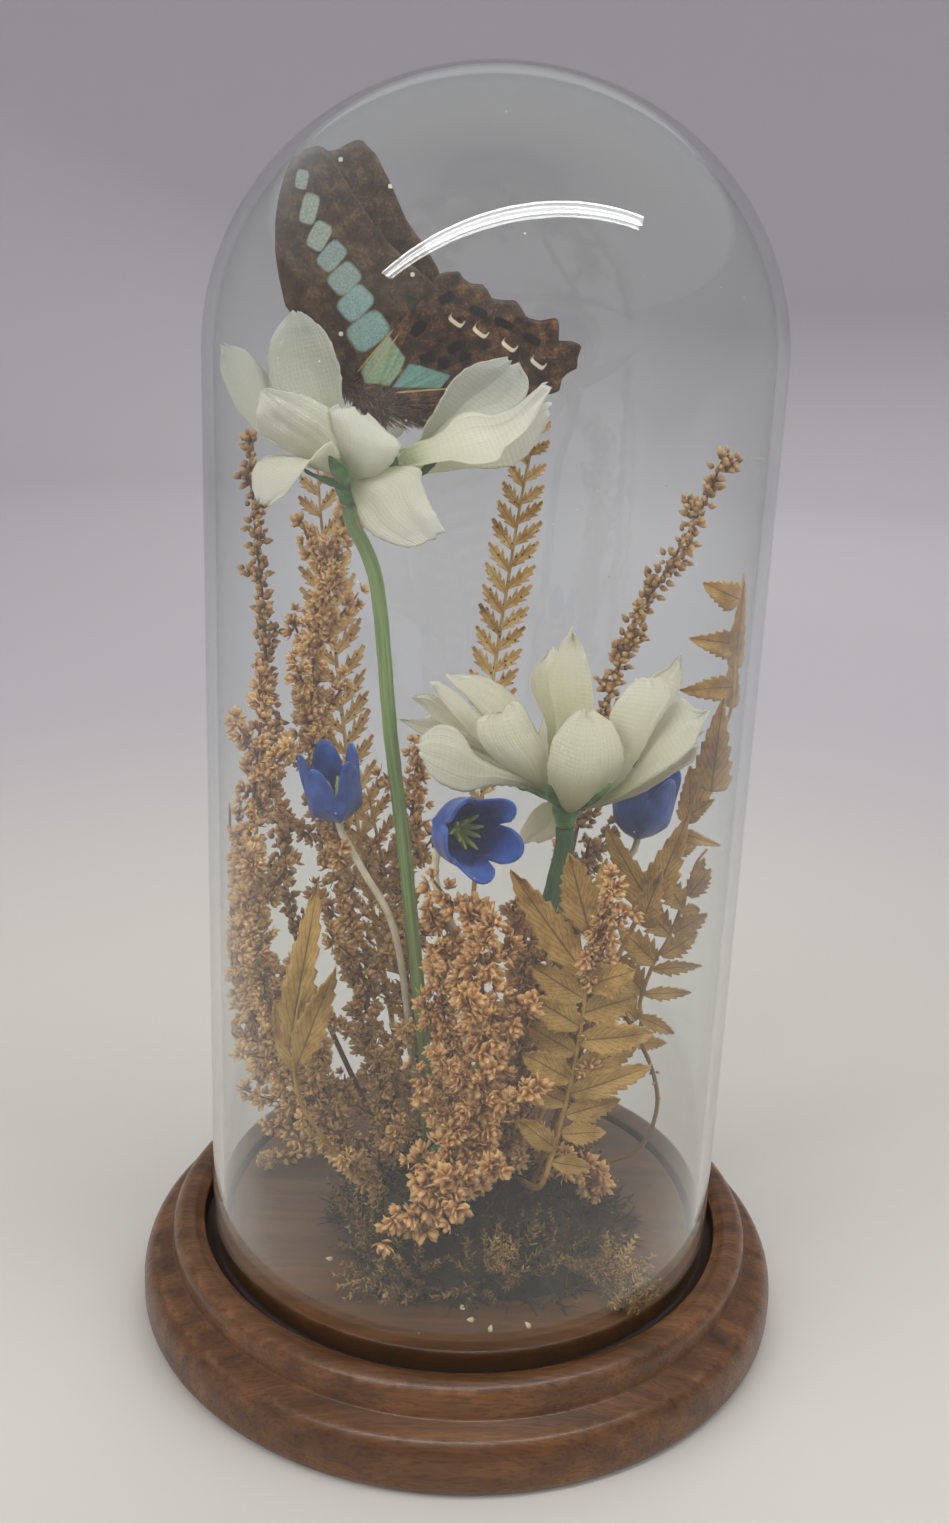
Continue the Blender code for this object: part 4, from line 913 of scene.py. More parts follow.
SHORT_INNER = [
    ([(13.9, -10, 112.7), (8.2, -10, 118.9), (3.5, -11, 123.9), (-0.1, -12, 127.2), (-3.7, -12, 131.2),
      (-6.5, -12, 134.1)],
     [(13.8, -9, 114.8), (10.8, -7, 121.2), (7.3, -6, 127.2), (3.6, -6, 130.8), (-0.3, -7, 132.9),
      (-5.9, -9, 133.6)], 1.6, 0.2),
    ([(19.4, -9, 111.3), (25.5, -7, 119.4), (28.9, -5, 127.7), (30.7, -4, 133), (33.3, -3, 134.4),
      (35.4, -2, 136.4)],
     [(20.5, -9, 111), (29.6, -8, 119.1), (33.7, -6, 125.9), (35.2, -5, 130.2), (36.5, -3, 133.4),
      (35.7, -2, 136.4)], -1, 0),
    ([(13, -8, 116), (12.1, -5, 123), (10.3, -3, 126.3), (8.7, -2, 130.4), (9.6, -1, 133.3),
      (11.6, 0, 135.6)],
     [(17.6, -8, 116.2), (16.5, -5, 123.2), (15.2, -3, 128.5), (14.4, -2, 132.6), (13.9, -1, 135.1),
      (13.3, 0, 136.7)], -1, 0),
    ([(14.5, -9, 116.4), (13.6, -8, 123.3), (12.3, -7, 129.3), (11.6, -6, 132.5), (12.6, -5, 135.4),
      (14, -4, 138.1), (15.8, -4, 140.9)],
     [(19.4, -9, 116.6), (20.4, -8, 123.6), (20.4, -7, 128.8), (19.5, -6, 133.2), (18.6, -5, 136.4),
      (17.4, -4, 138.8), (15.9, -4, 140.9)], -1.2, 0.1),
]
BACK_PETAL = (
    [(15, -8, 111.5), (12, -2, 115), (11, 5, 118), (13, 12, 121)],
    [(18, -8, 111.5), (21, -2, 115), (23, 5, 118), (20, 12, 121)],
    -2,
    0,
)
SHORT_SEPALS = [
    ([(15.8, -12, 110.3), (13, -14, 111.8), (10.2, -16, 113.8), (7.5, -18, 115.6)],
     [(15.8, -12, 111), (13.4, -14, 112.6), (10.6, -16, 114.4), (7.6, -18, 115.7)], 0.3, 0),
    ([(14.7, -12, 110), (12.2, -15, 112.7), (12.1, -17, 115.3), (12.2, -18, 117.1)],
     [(16.6, -12, 110.3), (14.4, -16, 113.4), (13.1, -18, 115.7), (12.4, -18, 117.1)], 0.5, 0),
    ([(16.6, -12, 109.7), (20.1, -16, 112.4), (21.9, -19, 115.6), (23, -20, 118)],
     [(17, -12, 110.5), (19.6, -16, 113.4), (21.5, -19, 116.2), (23, -20, 118.1)], 0.3, 0),
]
SHORT_STEM = [(16.2, -10, 105.3), (16, -10, 100), (12, -10, 80), (6, -10, 61), (0, -10, 43)]

TALL_SILK = dyed_silk("dyed_silk_tall", "C2CF88", "EDECD8", "F4F2EA", 0.36)
# The upright petals are greyed to paint the shade they stand in and the grey wall behind them.
UPRIGHT_SILK_PAINTED_SHADE = dyed_silk("silk_upright_painted_shade", "BCC596", "E0E0D0", "E2E2DA", 0.42)
SHORT_SILK = dyed_silk("dyed_silk_short", "BDC480", "E8E5CC", "F2EFE2", 0.5)
LEAF_GREEN = (0.3, "2F5227"), (0.75, "6E9A56"), (0.5, "48743A")
POLYTHENE = mottled("green_moulded_polythene", 3, 0.45, *LEAF_GREEN)
YELLOW_STAMENS, stamen_tree, stamen_shader = new_finish("yellow_green_polythene")
connect(stamen_tree, stamen_shader, {"Base Color": linear("A9B25A"), "Roughness": 0.5})

GREEN_TAPE = floral_tape("green_floral_tape", "58743F", "8A9A5E")
DARK_TAPE = floral_tape("dark_floral_tape", "2F4A2E", "4F7045")


def add_silk_flower(label, hub, whorls, heart, sepals, seed, stem, foot, radius, tape):
    """One flower: its whorls of petals, each 0.8 mm over the last, its stamens, calyx and stem."""
    for lift, (level, node, petals, first_seed, silk) in enumerate(whorls):
        sheet = whorl(petals, hub + Vector((0, 0, 0.8 * lift)), first_seed)
        nodes = [f"{label}_flower_{node}_petals"]
        thicken(add_piece(f"silk_{label}_{level}", sheet, "white_silk", nodes, silk), SILK_THICKNESS)
    lift, height, width = heart
    cushion = stamen_cushion(hub + Vector((0, 0, lift)), height, width)
    cup = calyx(hub, sepals, seed)
    stalk = taped_stem(stem, foot, radius)
    add_piece(f"{label}_stamens", cushion, "stamen_plastic", [f"{label}_flower_centre"], YELLOW_STAMENS)
    add_piece(f"{label}_calyx_moulding", cup, "floral_tape", [f"{label}_flower_calyx"], POLYTHENE)
    add_piece(f"{label}_taped_stem", stalk, "floral_tape", [f"{label}_flower_stem"], tape)


TALL_WHORLS = [
    ("low", "lower", TALL_LOW, 1, TALL_SILK),
    ("high", "upper", TALL_HIGH, 40, UPRIGHT_SILK_PAINTED_SHADE),
]
SHORT_WHORLS = [
    ("outer", "outer", [*SHORT_OUTER, *turned_back(SHORT_OUTER[:3:2], SHORT_HUB)], 80, SHORT_SILK),
    ("middle", "middle", [*SHORT_MIDDLE, *turned_back(SHORT_MIDDLE[2::2], SHORT_HUB)], 100, SHORT_SILK),
    ("inner", "inner", [*SHORT_INNER, BACK_PETAL], 120, SHORT_SILK),
]
TALL_HEART, SHORT_HEART = (1.4, 2.0, 1.6), (2.2, 2.4, 1.8)
add_silk_flower(
    "tall", TALL_HUB, TALL_WHORLS, TALL_HEART, TALL_SEPALS, 3, TALL_STEM, (-7, -3), 1.3, GREEN_TAPE
)
add_silk_flower(
    "short", SHORT_HUB, SHORT_WHORLS, SHORT_HEART, SHORT_SEPALS, 5, SHORT_STEM, (-6, -10), 1.7, DARK_TAPE
)


# The blue flowers.
# Three bells moulded in thin blue plastic, each with a hand of yellow-green stamens, on thin stems of
# cream plastic. One faces the viewer, and the others look up.

BELL_DEPTH = 13.5
BELL_RADIUS = 6.2
BELL_WALL = 0.5
CREAM_STEM_RADIUS = 0.7
# Each flower: where its bell sits and which way it faces, its stem and its foot, and the bell's form.
BLUE_FLOWERS = {
    "left": {
        "hub": (-25, -10, 105.5), "axis": (-0.15, -0.25, 1),
        "stem": [(-20, -9, 94), (-15, -8, 84), (-12, -5, 66)],
        "foot": (-9, 2),
        "form": {"width": 0.8, "twist": 32, "pointed": 0.5, "flare": 0.35, "cleft": 0.36},
    },
    "middle": {
        "hub": (-4.2, -19.5, 108.5), "axis": (0.42, -0.88, 0.22),
        "stem": [(-7, -17.5, 98), (-3, -18, 87), (1, -17, 71), (3, -14, 52)],
        "foot": (4, -11),
        "form": {"width": 1, "twist": 0, "pointed": 0.45, "flare": 1.1, "cleft": 0.6},
    },
    "right": {
        "hub": (31.5, 7, 97.5), "axis": (0.1, 0, 1),
        "stem": [(26, 6, 88), (17, 3, 78), (10, 1, 66), (5, -1, 52)],
        "foot": (3, -1),
        "form": {"width": 0.95, "twist": 20, "pointed": 0.45, "flare": 0.3, "cleft": 0.5},
    },
}


def moulded_bell(hub, axis, width, twist, pointed, flare, cleft):
    """A bell whose wall is cut into five lobes, down to cleft, that curl out a little at their tips."""
    bm = sheet_of(60, 14)
    turned_up = Vector((0, 0, 1)).rotation_difference(axis)
    for vert in bm.verts:
        turn = 2 * math.pi * (vert.co.x + 0.5)
        u = vert.co.y + 0.5
        lobe = abs(math.cos(2.5 * (turn - math.radians(twist)))) ** pointed
        height = BELL_DEPTH * u * (cleft + (1.04 - cleft) * lobe)
        swell = 0.2 + 0.72 * min(1.0, 2.6 * u) ** 0.7 + 0.12 * u
        crease = 1 + 0.05 * math.cos(5 * turn) * u - 0.13 * (1 - lobe) * u
        curl = 0.25 * flare * max(0.0, u - 0.65) * lobe
        rumple = 0.06 * noise.noise(Vector((math.cos(turn) * 1.6, math.sin(turn) * 1.6, u * 2)) + hub)
        reach = width * BELL_RADIUS * (swell * crease + curl + rumple * u)
        vert.co = hub + turned_up @ Vector((reach * math.cos(turn), reach * math.sin(turn), height))
    bmesh.ops.remove_doubles(bm, verts=bm.verts, dist=0.001)
    open_edges = [edge for edge in bm.edges if edge.is_boundary]
    foot = [edge for edge in open_edges if (edge.verts[0].co - hub).length < 0.3 * BELL_RADIUS]
    bmesh.ops.holes_fill(bm, edges=foot, sides=0)
    bmesh.ops.recalc_face_normals(bm, faces=bm.faces)
    return bm


def stamen_hand(hub, axis):
    """Nine blunt fingers that spread from a small palm."""
    turned_up = Vector((0, 0, 1)).rotation_difference(axis)
    palm = hub + axis * 0.6
    bm = limb([palm, palm + axis * 1.2, palm + axis * 2.0], [0.9, 1.3, 0.8], 12)
    for finger in range(9):
        turn = 2 * math.pi * finger / 9
        out = turned_up @ Vector((math.cos(turn), math.sin(turn), 0))
        lean = 0.35 + 0.12 * (finger % 3)
        route = [palm + axis * (0.9 + 1.1 * step) + out * (0.5 + lean * step) for step in range(6)]
        join(bm, limb(route, [0.42, 0.5, 0.52, 0.5, 0.4, 0.18], 8))
    return bm


def blue_plastic():
    """Deep blue polythene in soft blotches of darker and paler blue, with fine moulded veins."""
    finish, tree, shader = new_finish("blue_moulded_polythene")
    ribs = grain(tree, stretched(tree, coordinates(tree, "UV"), (60, 2.5, 1)), 1.0, 2)
    blotch = grain(tree, coordinates(tree), 4, 3)
    colour = ramp(tree, blotch, (0.3, "12337F"), (0.72, "3A68BE"), (0.5, "2450A0"))
    normal = bumps(tree, ribs, 0.4, 0.3)
    sockets = {"Base Color": colour, "Roughness": 0.42, "Normal": normal, "Sheen Weight": 0.2}
    connect(tree, shader, sockets)
    glowing(tree, shader, 0.2, colour)
    return finish


BLUE_POLYTHENE = blue_plastic()
# The cream plastic has yellowed unevenly.
CREAM_POLYTHENE = mottled("cream_moulded_polythene", 4, 0.5, (0.3, "B9AD8C"), (0.7, "DCD3B8"))
for side, flower in BLUE_FLOWERS.items():
    hub = Vector(flower["hub"])
    axis = Vector(flower["axis"]).normalized()
    bell = moulded_bell(hub, axis, **flower["form"])
    node = f"blue_flower_{side}"
    thicken(
        add_piece(f"blue_bell_{side}", bell, "blue_plastic", [node + "_bell"], BLUE_POLYTHENE), BELL_WALL
    )
    hand = stamen_hand(hub, axis)
    add_piece(f"blue_stamens_{side}", hand, "stamen_plastic", [node + "_stamens"], YELLOW_STAMENS)
    route = smooth_route(planted([hub, hub - axis * 3.0, *flower["stem"]], flower["foot"]), 1.5)
    stalk = limb(route, [CREAM_STEM_RADIUS] * len(route), 12)
    add_piece(f"cream_stem_{side}", stalk, "cream_plastic", [node + "_stem"], CREAM_POLYTHENE)


# The butterfly.
# A dried swallowtail relative with its wings closed over its back: brown wings with a turquoise band of
# cells, a hairy body, clubbed feelers and thin legs that stand on the petals. It grew in one piece.

BODY_HEAD = Vector((-26.5, -4.2, 182.6))
BODY_TAIL = Vector((-8.5, -4.2, 176.2))
BODY_SPINDLE = [
    (0, 0.5), (0.04, 1.2), (0.1, 1.35), (0.15, 0.95), (0.2, 1.9), (0.27, 2.4), (0.38, 2.6), (0.47, 2),
    (0.54, 1.45), (0.66, 1.7), (0.8, 1.6), (0.93, 1), (1, 0.4),
]
THORAX_HAIRS = 3000
WING_ROOT_HAIRS = 1100
WING_FUR = (-22.5, 178.6)
WING_THICKNESS = 0.25
WING_LEAN = 0.05
EDGE_STEPS = 132
# The wings' edges as (x, z), drawn from root round the tip and back.
FOREWING_ROOT = (-21.5, 181.2)
FOREWING_EDGE = [
    (-26.2, 181), (-28.2, 186.5), (-30.5, 190), (-33.4, 193.2), (-35.5, 195.3), (-36.5, 199.6),
    (-37.1, 204), (-37.1, 208.3), (-36.5, 212.2), (-35.6, 215.7), (-34.3, 218.7), (-32.3, 220),
    (-29.8, 220.7), (-29.1, 219.9), (-27.1, 220.3), (-26.3, 220.9), (-24.5, 221.8), (-23.4, 221.9),
    (-22.7, 221.2), (-20.9, 219.6), (-18.6, 215.5), (-15.7, 209.6), (-12.4, 205.4), (-10.1, 202),
    (-9.5, 199.8), (-12.5, 191.5), (-18.5, 182),
]
# The near forewing lies a little further forward, so a strip of the far one shows behind it.
NEAR_FOREWING_EDGE = [
    *FOREWING_EDGE[:14], (-27.6, 218.4), (-25.4, 215.2), (-22.4, 210.8), (-18.8, 206.4), (-14.8, 202.8),
    (-11.2, 200.2), (-10.2, 198.6), (-12.5, 191.5), (-18.5, 182),
]
HINDWING_ROOT = (-20.5, 179.4)
HINDWING_EDGE = [
    (-22.5, 184.8), (-18.6, 190.4), (-12.7, 197), (-9.7, 201.3), (-8.5, 201.6), (-6.6, 201.7),
    (-5.9, 200.6), (-4.7, 199.8), (-2.7, 199.8), (-1.7, 198.8), (-1, 197.5), (1.1, 197.3), (2.9, 197.4),
    (3.6, 196.8), (5.1, 194.6), (7.2, 194.2), (10, 194.8), (10.4, 194.4), (10.5, 191), (12.9, 191.1),
    (14.4, 190.5), (13.8, 188.6), (13.9, 187), (12.3, 186.1), (11.4, 185.1), (11.1, 183), (10.2, 182.6),
    (8, 182.4), (1.1, 180.4), (-10, 177.4),
]


def even_edge(points, count):
    """Points at equal distances along a line of (x, z) points."""
    corners = [Vector((x, 0, z)) for x, z in points]
    marks = [0.0]
    for start, end in zip(corners, corners[1:]):
        marks.append(marks[-1] + (end - start).length)
    found = []
    for step in range(count + 1):
        reach = marks[-1] * step / count
        index = max(i for i, mark in enumerate(marks[:-1]) if mark <= reach + 1e-6)
        share = (reach - marks[index]) / (marks[index + 1] - marks[index])
        found.append(corners[index].lerp(corners[index + 1], share))
    return found


def wing_height(side, lift, z, root):
    """How far forward or back a wing lies at a height: the closed wings lean a little apart."""
    return BODY_HEAD.y + side * (lift + WING_LEAN * (z - root[1]))


def wing(root, outline, side, lift, veins):
    """A wing fanned from its root to its edge, pleated along its veins."""
    edge = even_edge(outline, EDGE_STEPS)
    centre = Vector((root[0], 0, root[1]))
    bm = sheet_of(EDGE_STEPS, 26)
    for vert in bm.verts:
        across, out = vert.co.x + 0.5, vert.co.y + 0.5
        place = centre.lerp(edge[round(across * EDGE_STEPS)], 0.04 + 0.96 * out)
        pleat = 0.14 * math.cos(2 * math.pi * veins * across) * out
        warp = 0.5 * noise.noise(Vector((place.x, place.z, lift)) / 14) * out
        y = wing_height(side, lift, place.z, root) + side * (pleat + warp * side)
        vert.co = (place.x, y, place.z)
    bmesh.ops.recalc_face_normals(bm, faces=bm.faces)
    return bm


def wing_veins(root, outline, side, lift, veins):
    """Raised veins that run out from the root to the edge, thinner as they go."""
    edge = even_edge(outline, EDGE_STEPS)
    centre = Vector((root[0], 0, root[1]))
    bm = bmesh.new()
    bm.loops.layers.uv.new("across_and_along")
    for vein in range(veins + 1):
        end = edge[round(EDGE_STEPS * vein / veins)]
        shares = [step / 12 for step in range(13)]
        route = []
        for share in shares:
            place = centre.lerp(end, 0.1 + 0.89 * share)
            warp = 0.5 * noise.noise(Vector((place.x, place.z, lift)) / 14) * (0.1 + 0.89 * share)
            y = wing_height(side, lift, place.z, root) + side * 0.16 * share + warp
            route.append(Vector((place.x, y, place.z)))
        join(bm, limb(route, [0.2 - 0.1 * share for share in shares], 5))
    return bm


def body_hair():
    """Fine brown hair on the thorax and the roots of the wings, shorter on the abdomen."""
    draw = random.Random(5)
    curve = [Vector((0, 0, 0)), Vector((0.05, 0, 0.5)), Vector((0.2, 0, 1))]
    hair = small_mesh(limb(curve, [0.05, 0.035, 0.01], 3))
    bm = bmesh.new()
    forward = (BODY_HEAD - BODY_TAIL).normalized()
    sideways = Vector((0, 1, 0))
    upward = sideways.cross(forward)
    for count in range(THORAX_HAIRS):
        share = draw.random() ** 1.15
        radius = 0.0
        for (near, small), (far, large) in zip(BODY_SPINDLE, BODY_SPINDLE[1:]):
            if near <= share <= far:
                radius = small + (large - small) * (share - near) / (far - near)
        turn = draw.uniform(0, 2 * math.pi)
        out = sideways * math.cos(turn) + upward * math.sin(turn)
        place = BODY_HEAD.lerp(BODY_TAIL, share) + out * radius * 0.92
        woolly = 1.0 if share < 0.5 else 0.45
        stray = -forward * draw.uniform(0.2, 1.2) + Vector([draw.uniform(-0.3, 0.3) for axis in "xyz"])
        stamp(bm, hair, facing(place, out + stray, draw.uniform(0, 6.3), draw.uniform(0.8, 2.0) * woolly))
    for count in range(WING_ROOT_HAIRS):
        side = draw.choice((-1, 1))
        reach = draw.uniform(0, 9)
        turn = math.radians(draw.uniform(-70, 105))
        x, z = WING_FUR[0] + 1.4 * reach * math.cos(turn), WING_FUR[1] + reach * 0.33 * math.sin(turn)
        y = wing_height(side, 1.3, z, HINDWING_ROOT)
        lean = Vector((math.cos(turn), side * draw.uniform(0.15, 0.8), 0.5 * math.sin(turn)))
        stamp(bm, hair, facing((x, y, z), lean, draw.uniform(0, 6.3), draw.uniform(1.0, 2.2)))
    return bm


def butterfly_body():
    """Head with eyes, thorax and abdomen, feelers with clubs, and six jointed legs."""
    route = [BODY_HEAD.lerp(BODY_TAIL, share) for share, radius in BODY_SPINDLE]
    bm = limb(route, [radius for share, radius in BODY_SPINDLE], 20)
    for side in (-1, 1):
        eye = bmesh.new()
        bmesh.ops.create_uvsphere(eye, u_segments=16, v_segments=10, radius=0.85)
        place = BODY_HEAD.lerp(BODY_TAIL, 0.06) + Vector((0, side * 0.8, 0.25))
        bmesh.ops.translate(eye, verts=eye.verts, vec=place)
        join(bm, eye)
        root = BODY_HEAD.lerp(BODY_TAIL, 0.07) + Vector((0, side * 0.5, 0))
        tip = root + Vector((-8, side * 2.6, 6))
        feeler = smooth_route([root, root + Vector((-3.5, side * 1.2, 2.2)), tip], 0.8)
        radii = [0.14] * (len(feeler) - 4) + [0.24, 0.32, 0.3, 0.12]
        join(bm, limb(feeler, radii, 7))
        for index, share in enumerate((0.2, 0.29, 0.4)):
            hip = BODY_HEAD.lerp(BODY_TAIL, share) + Vector((0, side * 0.8, -0.6))
            knee = hip + Vector((index - 1.5, side * 1.6, -2.8))
            foot = knee + Vector((0.4, side * 0.4, -2.2))
            leg = smooth_route([hip, knee, foot], 0.5)
            join(bm, limb(leg, [0.3 - 0.2 * step / len(leg) for step in range(len(leg))], 6))
    return bm


def flat_place(tree):
    """The place on a wing in mm as (x, z, 0), the same on all four wings."""
    place = coordinates(tree)
    flat = add(tree, "CombineXYZ", {"X": axis_of(tree, place, "X"), "Y": axis_of(tree, place, "Z")})
    return in_cells(tree, flat.outputs[0], 1, 1, 1)


def vector_maths(tree, operation, *places):
    """Arithmetic with places: another place, or an amount where the operation measures one."""
    made = add(tree, "VectorMath", dict(enumerate(places)), operation=operation)
    return made.outputs["Value" if operation in ("DOT_PRODUCT", "LENGTH") else 0]


def cell_mask(tree, flat, centre, half, turn, soft=0.35):
    """1 inside a rounded box on the wing: centre and half sizes in mm, turned by degrees."""
    box = {"Location": (*centre, 0), "Rotation": (0, 0, math.radians(turn)), "Scale": (*half, 1)}
    cell = add(tree, "Mapping", {"Vector": flat, **box}, vector_type="TEXTURE").outputs[0]
    squared = vector_maths(tree, "MULTIPLY", cell, cell)
    fourth = vector_maths(tree, "MULTIPLY", squared, squared)
    return ranged(tree, vector_maths(tree, "DOT_PRODUCT", fourth, (1, 1, 0)), 1 + soft, 1 - soft)


def polygon_mask(tree, flat, corners, soft=0.3):
    """1 inside a many-sided cell on the wing, whose corners run clockwise."""
    inside = None
    for (x, z), (next_x, next_z) in zip(corners, [*corners[1:], corners[0]]):
        inward = Vector((next_z - z, x - next_x, 0)).normalized()
        over = vector_maths(tree, "DOT_PRODUCT", flat, inward)
        depth = maths(tree, "SUBTRACT", over, inward.dot((x, z, 0)))
        inside = maths(tree, "MINIMUM", inside, depth) if inside else depth
    return ranged(tree, inside, 0.0, soft)


def paint(tree, below, colour, masks):
    """Lays a colour, given in hex or as an output, over another wherever one of the masks is 1."""
    top = masks[0]
    for mask in masks[1:]:
        top = maths(tree, "MAXIMUM", top, mask)
    return blended(tree, top, below, linear(colour) if isinstance(colour, str) else colour)


# The cells of the band: centre, half sizes, and the tilt of each, read off the closed wings.
PALE_CELLS = [
    ((-32.6, 215.3), (1.5, 1), 80), ((-31.4, 210.8), (2.4, 1.35), 75), ((-29.8, 206.6), (2.3, 1.55), 62),
]
GREY_CELLS = [((-27.7, 203.5), (2.5, 1.65), 49), ((-25.6, 200.0), (2.6, 2.0), 43)]
BLUE_CELLS = [((-23.7, 196.1), (2.9, 2.15), 45), ((-21.5, 191.6), (3.4, 2.5), 38)]
# The two cells at the root of the band have straight sides; their corners run clockwise.
GREEN_CELL = [(-22.9, 185.2), (-18, 191.4), (-15, 187.4), (-16, 184.9), (-17.8, 182.6), (-22, 183)]
TURQUOISE_CELL = [(-15.9, 184.8), (-14.7, 186.7), (-12.8, 186.5), (-7.2, 185), (-9, 182.6), (-17.6, 182.4)]
GOLDEN_VEINS = [
    ((-20.3, 188.4), (4.6, 0.2), 51), ((-19, 187.6), (4.4, 0.12), 55), ((-12.2, 182.2), (4.6, 0.14), 6),
]
WHITE_DOTS = [(-26.8, 218.7), (-26.1, 191), (-22.2, 182.6), (-14.3, 201.1), (-18.5, 214.8)]
LUNULES = [(-6.7, 194.1), (-2.6, 192.5), (2.3, 190.4), (7.3, 187.7)]
BLACK_PATCHES = [
    ((-11.5, 187.6), (1.3, 0.8), 10), ((-8.7, 186.8), (1, 0.9), 0), ((-13, 192.5), (1.6, 0.9), 50),
    ((-6.9, 189.6), (1.3, 0.8), 40), ((-5, 187.9), (0.9, 0.9), 0), ((-3.2, 195.6), (1.6, 0.7), -20),
    ((1.2, 193.8), (1.7, 0.7), -25), ((6, 191.4), (1.6, 0.7), -25), ((-8.6, 197.6), (1.4, 0.8), 35),
]


def wing_scales(name, hind):
    """Dried wing membrane under loose scales: brown and mottled, with a band of pale glassy cells."""
    finish, tree, shader = new_finish(name)
    place, flat = coordinates(tree), flat_place(tree)
    # Real scales are 0.1 mm wide; they are drawn 0.35 mm wide so that the mottling shows.
    scales = grain(tree, place, 0.35, 3)
    mottle = mixed(tree, 0.4, grain(tree, place, 2.2, 5), scales)
    if hind:
        colour = ramp(tree, mottle, (0.36, "1C120B"), (0.66, "8C6638"), (0.46, "3A281A"), (0.55, "5C4026"))
        colour = paint(tree, colour, "120D0A", [cell_mask(tree, flat, *patch) for patch in BLACK_PATCHES])
        moons = []
        for x, z in LUNULES:
            outer = cell_mask(tree, flat, (x, z), (1.35, 0.85), -35, 0.3)
            inner = cell_mask(tree, flat, (x + 0.25, z + 0.5), (1.2, 0.75), -35, 0.3)
            moons.append(maths(tree, "SUBTRACT", outer, inner))
        colour = paint(tree, colour, "E2D6BC", moons)
        band = {}
    else:
        colour = ramp(tree, mottle, (0.34, "2A1C10"), (0.68, "7C6242"), (0.5, "4A3826"))
        band = {"CBD2C4": PALE_CELLS, "B4C4BE": GREY_CELLS, "AECECA": BLUE_CELLS}
    painted = {tint: [cell_mask(tree, flat, *cell) for cell in group] for tint, group in band.items()}
    painted["B4CEA6"] = [polygon_mask(tree, flat, GREEN_CELL)]
    painted["86BEB4"] = [polygon_mask(tree, flat, TURQUOISE_CELL)]
    for tint, masks in painted.items():
        colour = paint(tree, colour, blended(tree, scales, linear("5E6E60"), linear(tint)), masks)
    colour = paint(tree, colour, "C2A064", [cell_mask(tree, flat, *vein) for vein in GOLDEN_VEINS])
    dots = [cell_mask(tree, flat, dot, (0.35, 0.35), 0) for dot in WHITE_DOTS]
    colour = paint(tree, colour, "E6E2D2", dots)
    normal = bumps(tree, scales, 0.4, 0.1)
    sockets = {"Base Color": colour, "Roughness": 0.55, "Normal": normal, "Sheen Weight": 0.3}
    connect(tree, shader, sockets)
    glowing(tree, shader, 0.25, colour)
    return finish


def insect_hair():
    """Brown hair, each its own shade, some straw pale."""
    finish, tree, shader = new_finish("brown_insect_hair")
    strand = add(tree, "NewGeometry", {}).outputs["Random Per Island"]
    colour = ramp(tree, strand, (0.0, "3A2618"), (1.0, "B9A27C"), (0.6, "6B4C30"), (0.9, "8A6B48"))
    connect(tree, shader, {"Base Color": colour, "Roughness": 0.7})
    return finish


CHITIN = mottled("brown_insect_skin", 1.2, 0.4, (0.3, "1F140E"), (0.7, "4E3826"))
add_piece("butterfly_body", butterfly_body(), "wing_scales", ["butterfly"], CHITIN)
add_piece("butterfly_hair", body_hair(), "wing_scales", [], insect_hair())
FOREWING_SCALES = wing_scales("forewing_scales", False)
HINDWING_SCALES = wing_scales("hindwing_scales", True)
for side, label, fore_edge in ((-1, "near", NEAR_FOREWING_EDGE), (1, "far", FOREWING_EDGE)):
    for kind, root, outline, lift, veins, scales in (
        ("forewing", FOREWING_ROOT, fore_edge, 0.4, 11, FOREWING_SCALES),
        ("hindwing", HINDWING_ROOT, HINDWING_EDGE, 1.1, 9, HINDWING_SCALES),
    ):
        sheet = wing(root, outline, side, lift, veins)
        thicken(add_piece(f"{label}_{kind}", sheet, "wing_scales", [], scales), WING_THICKNESS)
        ribs = wing_veins(root, outline, side, lift, veins)
        add_piece(f"{label}_{kind}_veins", ribs, "wing_scales", [], scales)


# The ferns.
# Seven dried fern fronds in golden tan: a thin rib with leaflets along both sides, brittle, curled and
# veined, three of them dotted with dark spores. Each frond grew in one piece.

# How many teeth each cut of leaflet has along an edge, and how deep they are, as a share of its width.
LEAFLET_TEETH = {"lobed": (4, 0.72), "fan": (6, 0.3), "broad": (6, 0.42), "veined": (8, 0.36)}
VEIN_PAIRS = 10
LEAFLET_THICKNESS = 0.14


def leaflet_outline(u, v, cut):
    """Half width of a leaflet at a share of its length, as a share of its widest."""
    teeth, depth = LEAFLET_TEETH[cut]
    tooth = 1 - depth * (1 - (u * teeth) % 1.0) ** 0.9 * (1.0 if v > 0 else 0.75)
    if cut == "lobed":
        return min(1.0, 0.45 + 1.5 * u) * min(1.0, 0.12 + 1.7 * (1 - u)) * tooth
    if cut == "fan":
        return min(1.0, 0.85 + u) * (1 - u) ** 0.75 * tooth
    return min(1.0, 0.35 + 2.6 * u) * (1 - u**2.2) ** 0.8 * tooth


def leaflet(root, axis, across, face, length, half, cut, seed):
    """One leaflet as a thin sheet: lobed, fanned, broad or veined; it has curled as it dried."""
    bm = sheet_of(6, 30)
    for vert in bm.verts:
        v, u = 2 * vert.co.x, vert.co.y + 0.5
        wide = half * max(0.05, leaflet_outline(u, v, cut))
        curl = noise.noise(Vector((u * 2.0, v * 0.8, seed))) * 0.14 * length * u
        cup = 0.16 * half * v * v - 0.08 * length * u * u
        forward = abs(v) ** 2 * wide * (0.85 if cut == "lobed" else 0.45)
        spot = root + axis * (length * u + forward) + across * (v * wide) + face * (curl + cup)
        vert.co = kept_inside(spot, 0.6)
    return bm


